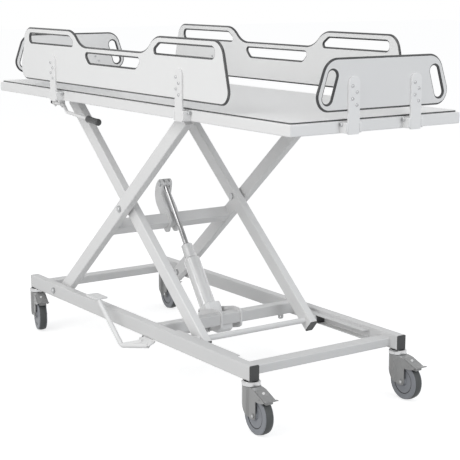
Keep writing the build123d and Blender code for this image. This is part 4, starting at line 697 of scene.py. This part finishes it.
def bent_bar(stops, radius, bend=24.0):
    """A round steel bar from the first stop to the last, bent round those between, with closed ends."""
    arc_steps = 8
    line = [stops[0]]
    for before, corner, after in zip(stops, stops[1:], stops[2:]):
        back, on = (before - corner).normalized(), (after - corner).normalized()
        half_turn = (pi - back.angle(on)) / 2
        middle = corner + (back + on).normalized() * bend / cos(half_turn)
        start = corner + back * bend * tan(half_turn) - middle
        finish = corner + on * bend * tan(half_turn) - middle
        line += [middle + start.slerp(finish, step / arc_steps) * bend for step in range(arc_steps + 1)]
    line.append(stops[-1])
    bpy.ops.object.select_all(action="DESELECT")
    path = bpy.data.curves.new("bar_line", "CURVE")
    path.dimensions = "3D"
    path.bevel_depth = radius * mm
    path.bevel_resolution = 4
    path.use_fill_caps = True
    run = path.splines.new("POLY")
    run.points.add(len(line) - 1)
    for point, place in zip(run.points, line):
        point.co = (*(place * mm), 1.0)
    bar = bpy.data.objects.new("bar_line", path)
    scene.collection.objects.link(bar)
    alone(bar)
    bpy.ops.object.convert(target="MESH")
    bar = bpy.context.object
    bpy.ops.object.mode_set(mode="EDIT")
    bpy.ops.mesh.select_all(action="SELECT")
    bpy.ops.mesh.remove_doubles(threshold=0.01 * mm)
    bpy.ops.mesh.normals_make_consistent(inside=False)
    bpy.ops.object.mode_set(mode="OBJECT")
    bpy.ops.object.shade_smooth_by_angle(angle=radians(40))
    return bar


finish_with(white_coat, "pedal_lever")
lever_low, lever_high = box_in_mm("pedal_lever")
pad_length, pad_width, plate_thickness = 80.0, 49.0, 5.0
pad_middle = Vector((lever_low.x + pad_length / 2, lever_low.y + pad_width / 2,
                     lever_high.z - plate_thickness / 2))
tread_slope = Matrix.Rotation(radians(24.5), 4, "X")
shaft_start, shaft_length, shaft_radius, shaft_ease = -43.5, 284.8, 8.0, 0.8
collar_start, collar_length, collar_radius = -318.5, 9.6, 9.8
foot_pad = cut_plate(pad_length, pad_width, plate_thickness, corner=8.0, place=pad_middle)
tread_plate = cut_plate(length=76.0, width=31.0, thickness=plate_thickness, corner=4.0,
                        place=from_shaft(50.0, -333.0, 6.5), turn=tread_slope)
tread_rib = cut_plate(length=44.0, width=8.0, thickness=9.0, corner=1.5,
                      place=from_shaft(21.0, -323.5, -1.5))
pedal_bar = bent_bar([from_shaft(77.0, -342.0, -1.0), from_shaft(-53.0, -371.0, -26.0),
                      pad_middle + Vector((30.0, -10.0, -5.0))], radius=8.5)
pedal_stay = bent_bar([from_shaft(37.0, -341.0, 5.0), from_shaft(-43.0, -368.5, -21.0)], radius=7.5)
shaft = turned((0.0, shaft_radius - shaft_ease), (shaft_ease, shaft_radius),
               (shaft_length - shaft_ease, shaft_radius), (shaft_length, shaft_radius - shaft_ease), sides=28)
shaft.data.transform(aimed(from_shaft(0.0, shaft_start, 0.0), right))
shaft_collar = turned((0.0, collar_radius), (collar_length - shaft_ease, collar_radius),
                      (collar_length, collar_radius - shaft_ease), sides=28)
shaft_collar.data.transform(aimed(from_shaft(0.0, collar_start, 0.0), right))
pedal_pieces = [foot_pad, tread_plate, tread_rib, pedal_bar, pedal_stay, shaft, shaft_collar]
foot_pedal = joined("foot_pedal", pedal_pieces, white_coat, "pedal")
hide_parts("pedal_lever")
lug_right, lug_left = (corner.y for corner in box_in_mm("pedal_lugs"))
bush = turned((0.0, 12.0), (1.8, 12.0), (2.4, 11.4), (2.4, 8.6), (0.4, 8.6), sides=28)
bushes = [copied(bush, aimed(from_shaft(0.0, lug_right, 0.0), right)),
          copied(bush, aimed(from_shaft(0.0, lug_left, 0.0), left))]
joined("pedal_bushes", bushes, black_plug, "base")
put_away(bush)

# Table frame: square steel tube with cross bars, welded and coated. Hinge ears and the hand lever's lugs
# are welded to it.
# The table's coat is a lighter copy of the white coat: painted light on the upper frame and the straps.
table_lit_coat = powder_coat("table_lit_powder_coat", (0.83, 0.828, 0.825))
finish_with(table_lit_coat, "table_frame_tubes", "upper_guide_channels", "table_lugs", "hinge_ears", "hinge_pins")
finish_with(bright_zinc, "hinge_bolts")
strap_width = 42.0


def strap_middles(panel, way):
    """The middles of a panel's two hinge straps, measured along a direction."""
    rear, front = sorted(corner.dot(way) for corner in box_in_mm(f"straps_{panel}"))
    return rear + strap_width / 2, front - strap_width / 2


forward = Vector((1.0, 0.0, 0.0))
table_end, table_side = box_in_mm("table_frame_tubes")[1].xy
table_tube = 35.0
table_inside = table_side - table_tube
bar_middles, bar_half, bar_foot = (-640.0, 264.8, 649.7), 15.0, 937.5
bar_weld_foot, bar_weld_top, bar_weld_half = 939.0, 966.0, 14.0
ear_sides, ear_weld_foot, ear_weld_top, ear_drop = (-29.5, -21.5, 21.5, 29.5), 936.0, 950.0, 1.5
table_welds = []
for side in (-1, 1):
    y = side * table_inside
    for bar in bar_middles:
        for x in (bar - bar_half, bar + bar_half):
            table_welds.append(weld_bead((x, y, bar_weld_foot), (x, y, bar_weld_top)))
        table_welds.append(weld_bead((bar - bar_weld_half, y, bar_foot), (bar + bar_weld_half, y, bar_foot)))
    y = side * table_side
    for strap in strap_middles("side_right", forward):
        for x in (strap + ear for ear in ear_sides):
            table_welds.append(weld_bead((x, y, ear_weld_foot), (x, y, ear_weld_top), ear_drop))
for x in (-table_end, table_end):
    for strap in strap_middles("end_front", left):
        for y in (strap + ear for ear in ear_sides):
            table_welds.append(weld_bead((x, y, ear_weld_foot), (x, y, ear_weld_top), ear_drop))
joined("table_welds", table_welds, white_coat, "table")

# Hand lever: a cranked coated rod in two pointed lugs under the right side tube, with a dark moulded
# grip. A black lock nut holds its rear end.
finish_with(white_coat, "hand_lever")
grip_rubber = moulded_plastic("grip_moulding", (0.07, 0.071, 0.072), low=0.34, high=0.48, grain=1000.0)
finish_with(grip_rubber, "hand_grip")
thread_shown = 8.7
nut_place = pivot("hand_lever_swing")
nut_place.x = box_in_mm("hand_lever")[0].x + thread_shown
lock_nut = hex_nut(across=18.0, height=9.0, stud=6.4)
lock_nut.data.transform(aimed(nut_place, -forward))
joined("hand_lever_nut", [lock_nut], black_plug, "hand_lever")


# Lying board: one sheet of white compact laminate, cut by a router and laid on the table frame. Its
# faces are white, and its cut edge shows the sheet's dark core.
def laminate(name, face_axis, face, core, reach=0.985):
    """Compact laminate: white where the surface faces along an axis, dark core where it leans off it."""
    sheet, tree, shader, place = started(name)
    parts = tree.nodes.new("ShaderNodeSeparateXYZ")
    upright = tree.nodes.new("ShaderNodeMath")
    upright.operation = "ABSOLUTE"
    cut = tree.nodes.new("ShaderNodeMath")
    cut.operation = "LESS_THAN"
    cut.inputs[1].default_value = reach
    tree.links.new(place["Normal"], parts.inputs[0])
    tree.links.new(parts.outputs[face_axis], upright.inputs[0])
    tree.links.new(upright.outputs[0], cut.inputs[0])
    cloud = mottle(tree, place["Object"], scale=5.0, detail=4.0)
    layers = mottle(tree, place["Object"], scale=260.0, detail=4.0)
    core_in, sheet_colour = colour_mix(tree, cut.outputs[0], two_tones(tree, cloud, face, darker=0.985))
    tree.links.new(two_tones(tree, layers, core, darker=0.8), core_in)
    tree.links.new(sheet_colour, shader.inputs["Base Color"])
    gloss = spread(tree, cut.outputs[0], low=0.33, high=0.26, start=0.0, end=1.0)
    tree.links.new(gloss, shader.inputs["Roughness"])
    fine = mottle(tree, place["Object"], scale=1100.0, detail=2.0)
    relief(tree, fine, strength=0.07, depth=0.0003)
    return sheet


sheet_core = (0.05, 0.051, 0.053)
# The board's face is a darker copy of the panels' white laminate: painted shade between the panels.
board_laminate = laminate("board_laminate", "Z", (0.735, 0.735, 0.732), sheet_core, reach=0.5)
finish_with(board_laminate, "lying_board")


# Folding panels: sheets of the same laminate with hand slots. A router eases the rim and the slots
# beyond their chamfer, so that the dark core shows as a line round each of them.
def routed(panel, body, material, across):
    """A panel from its CAD shape, thick along axis `across`, with a shallow routed slope at rim and slots."""
    slope_width, slope_depth = 1.6 * mm, 0.5 * mm
    low, high = (corner[across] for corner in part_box(panel))
    sheet = bpy.data.objects.new(f"routed_{panel}", frame["nodes"][panel].data.copy())
    scene.collection.objects.link(sheet)
    sheet.data.materials.clear()
    sheet.data.materials.append(material)

    def flat(face):
        return abs(face.normal[across]) > 0.9999

    alone(sheet)
    bpy.ops.object.mode_set(mode="EDIT")
    bpy.ops.mesh.select_mode(type="FACE")
    bpy.ops.mesh.select_all(action="SELECT")
    bpy.ops.mesh.remove_doubles(threshold=0.002 * mm)
    bpy.ops.mesh.dissolve_limited(angle_limit=radians(0.5))
    bpy.ops.object.mode_set(mode="OBJECT")
    with_picked(sheet, "FACE", flat)
    bpy.ops.mesh.inset(thickness=slope_width, depth=slope_depth, use_boundary=True, use_even_offset=True)
    bpy.ops.mesh.select_all(action="SELECT")
    thinning, centre = [1.0, 1.0, 1.0], [0.0, 0.0, 0.0]
    thinning[across] = (high - low) / (high - low + 2 * slope_depth)
    centre[across] = (low + high) / 2
    bpy.ops.transform.resize(value=thinning, center_override=centre)
    bpy.ops.object.mode_set(mode="OBJECT")
    bpy.ops.object.shade_smooth_by_angle(angle=radians(38))
    with_picked(sheet, "FACE", flat)
    bpy.ops.mesh.faces_shade_flat()
    bpy.ops.object.mode_set(mode="OBJECT")
    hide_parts(panel)
    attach(sheet, body)


# The side panels get a lighter copy of the laminate as painted light, and the end panels a darker copy as
# painted shade.
side_lit_laminate = laminate("side_panel_lit_laminate", "Y", (0.835, 0.835, 0.83), sheet_core)
end_shaded_laminate = laminate("end_panel_shaded_laminate", "X", (0.77, 0.768, 0.765), sheet_core)
along_x, along_y = 0, 1
for place in ("right", "left"):
    finish_with(side_lit_laminate, f"side_panel_{place}")
    routed(f"side_panel_{place}", f"panel_side_{place}", side_lit_laminate, along_y)
for place in ("front", "rear"):
    finish_with(end_shaded_laminate, f"end_panel_{place}")
    routed(f"end_panel_{place}", f"panel_end_{place}", end_shaded_laminate, along_x)

# Panel straps: flat coated steel bars that carry the panels on their hinges. Four domed zinc screws go
# through each strap and panel, in a zigzag, to nuts on the panel's inner face.
head_top = 3.2
screw_head = cut_socket(turned((-0.4, 5.3), (0.8, 5.3), (2.0, 4.7), (2.9, 3.4), (head_top, 2.4)), across=3.0,
                        top=head_top, depth=1.8)
panel_nut = hex_nut(across=8.6, height=4.2, stud=2.4)
screw_heights, zigzag = (1070.0, 1052.0, 1033.5, 1015.0), (-8.0, 8.0)
side_shift, end_shift = -4.5, 0.7
strap_rows = {("side", "right"): (right, forward, side_shift), ("side", "left"): (left, -forward, side_shift),
              ("end", "front"): (forward, left, end_shift), ("end", "rear"): (-forward, right, end_shift)}
for (kind, place), (outward, rightward, shift) in strap_rows.items():
    # The straps wear the table's lighter copy of the coat, as painted light.
    finish_with(table_lit_coat, f"straps_{kind}_{place}")
    strap_face = max(corner.dot(outward) for corner in box_in_mm(f"straps_{kind}_{place}"))
    panel_face = min(corner.dot(outward) for corner in box_in_mm(f"{kind}_panel_{place}"))
    fixings = []
    for strap in strap_middles(f"{kind}_{place}", rightward):
        for row, height in enumerate(screw_heights):
            screw_line = (strap + shift + zigzag[row % 2]) * rightward + Vector((0.0, 0.0, height))
            fixings.append(copied(screw_head, aimed(screw_line + strap_face * outward, outward)))
            fixings.append(copied(panel_nut, aimed(screw_line + panel_face * outward, -outward)))
    joined(f"strap_fixings_{kind}_{place}", fixings, bright_zinc, f"panel_{kind}_{place}")
put_away(screw_head, panel_nut)

# Brings the scene up to date.
bpy.context.view_layer.update()
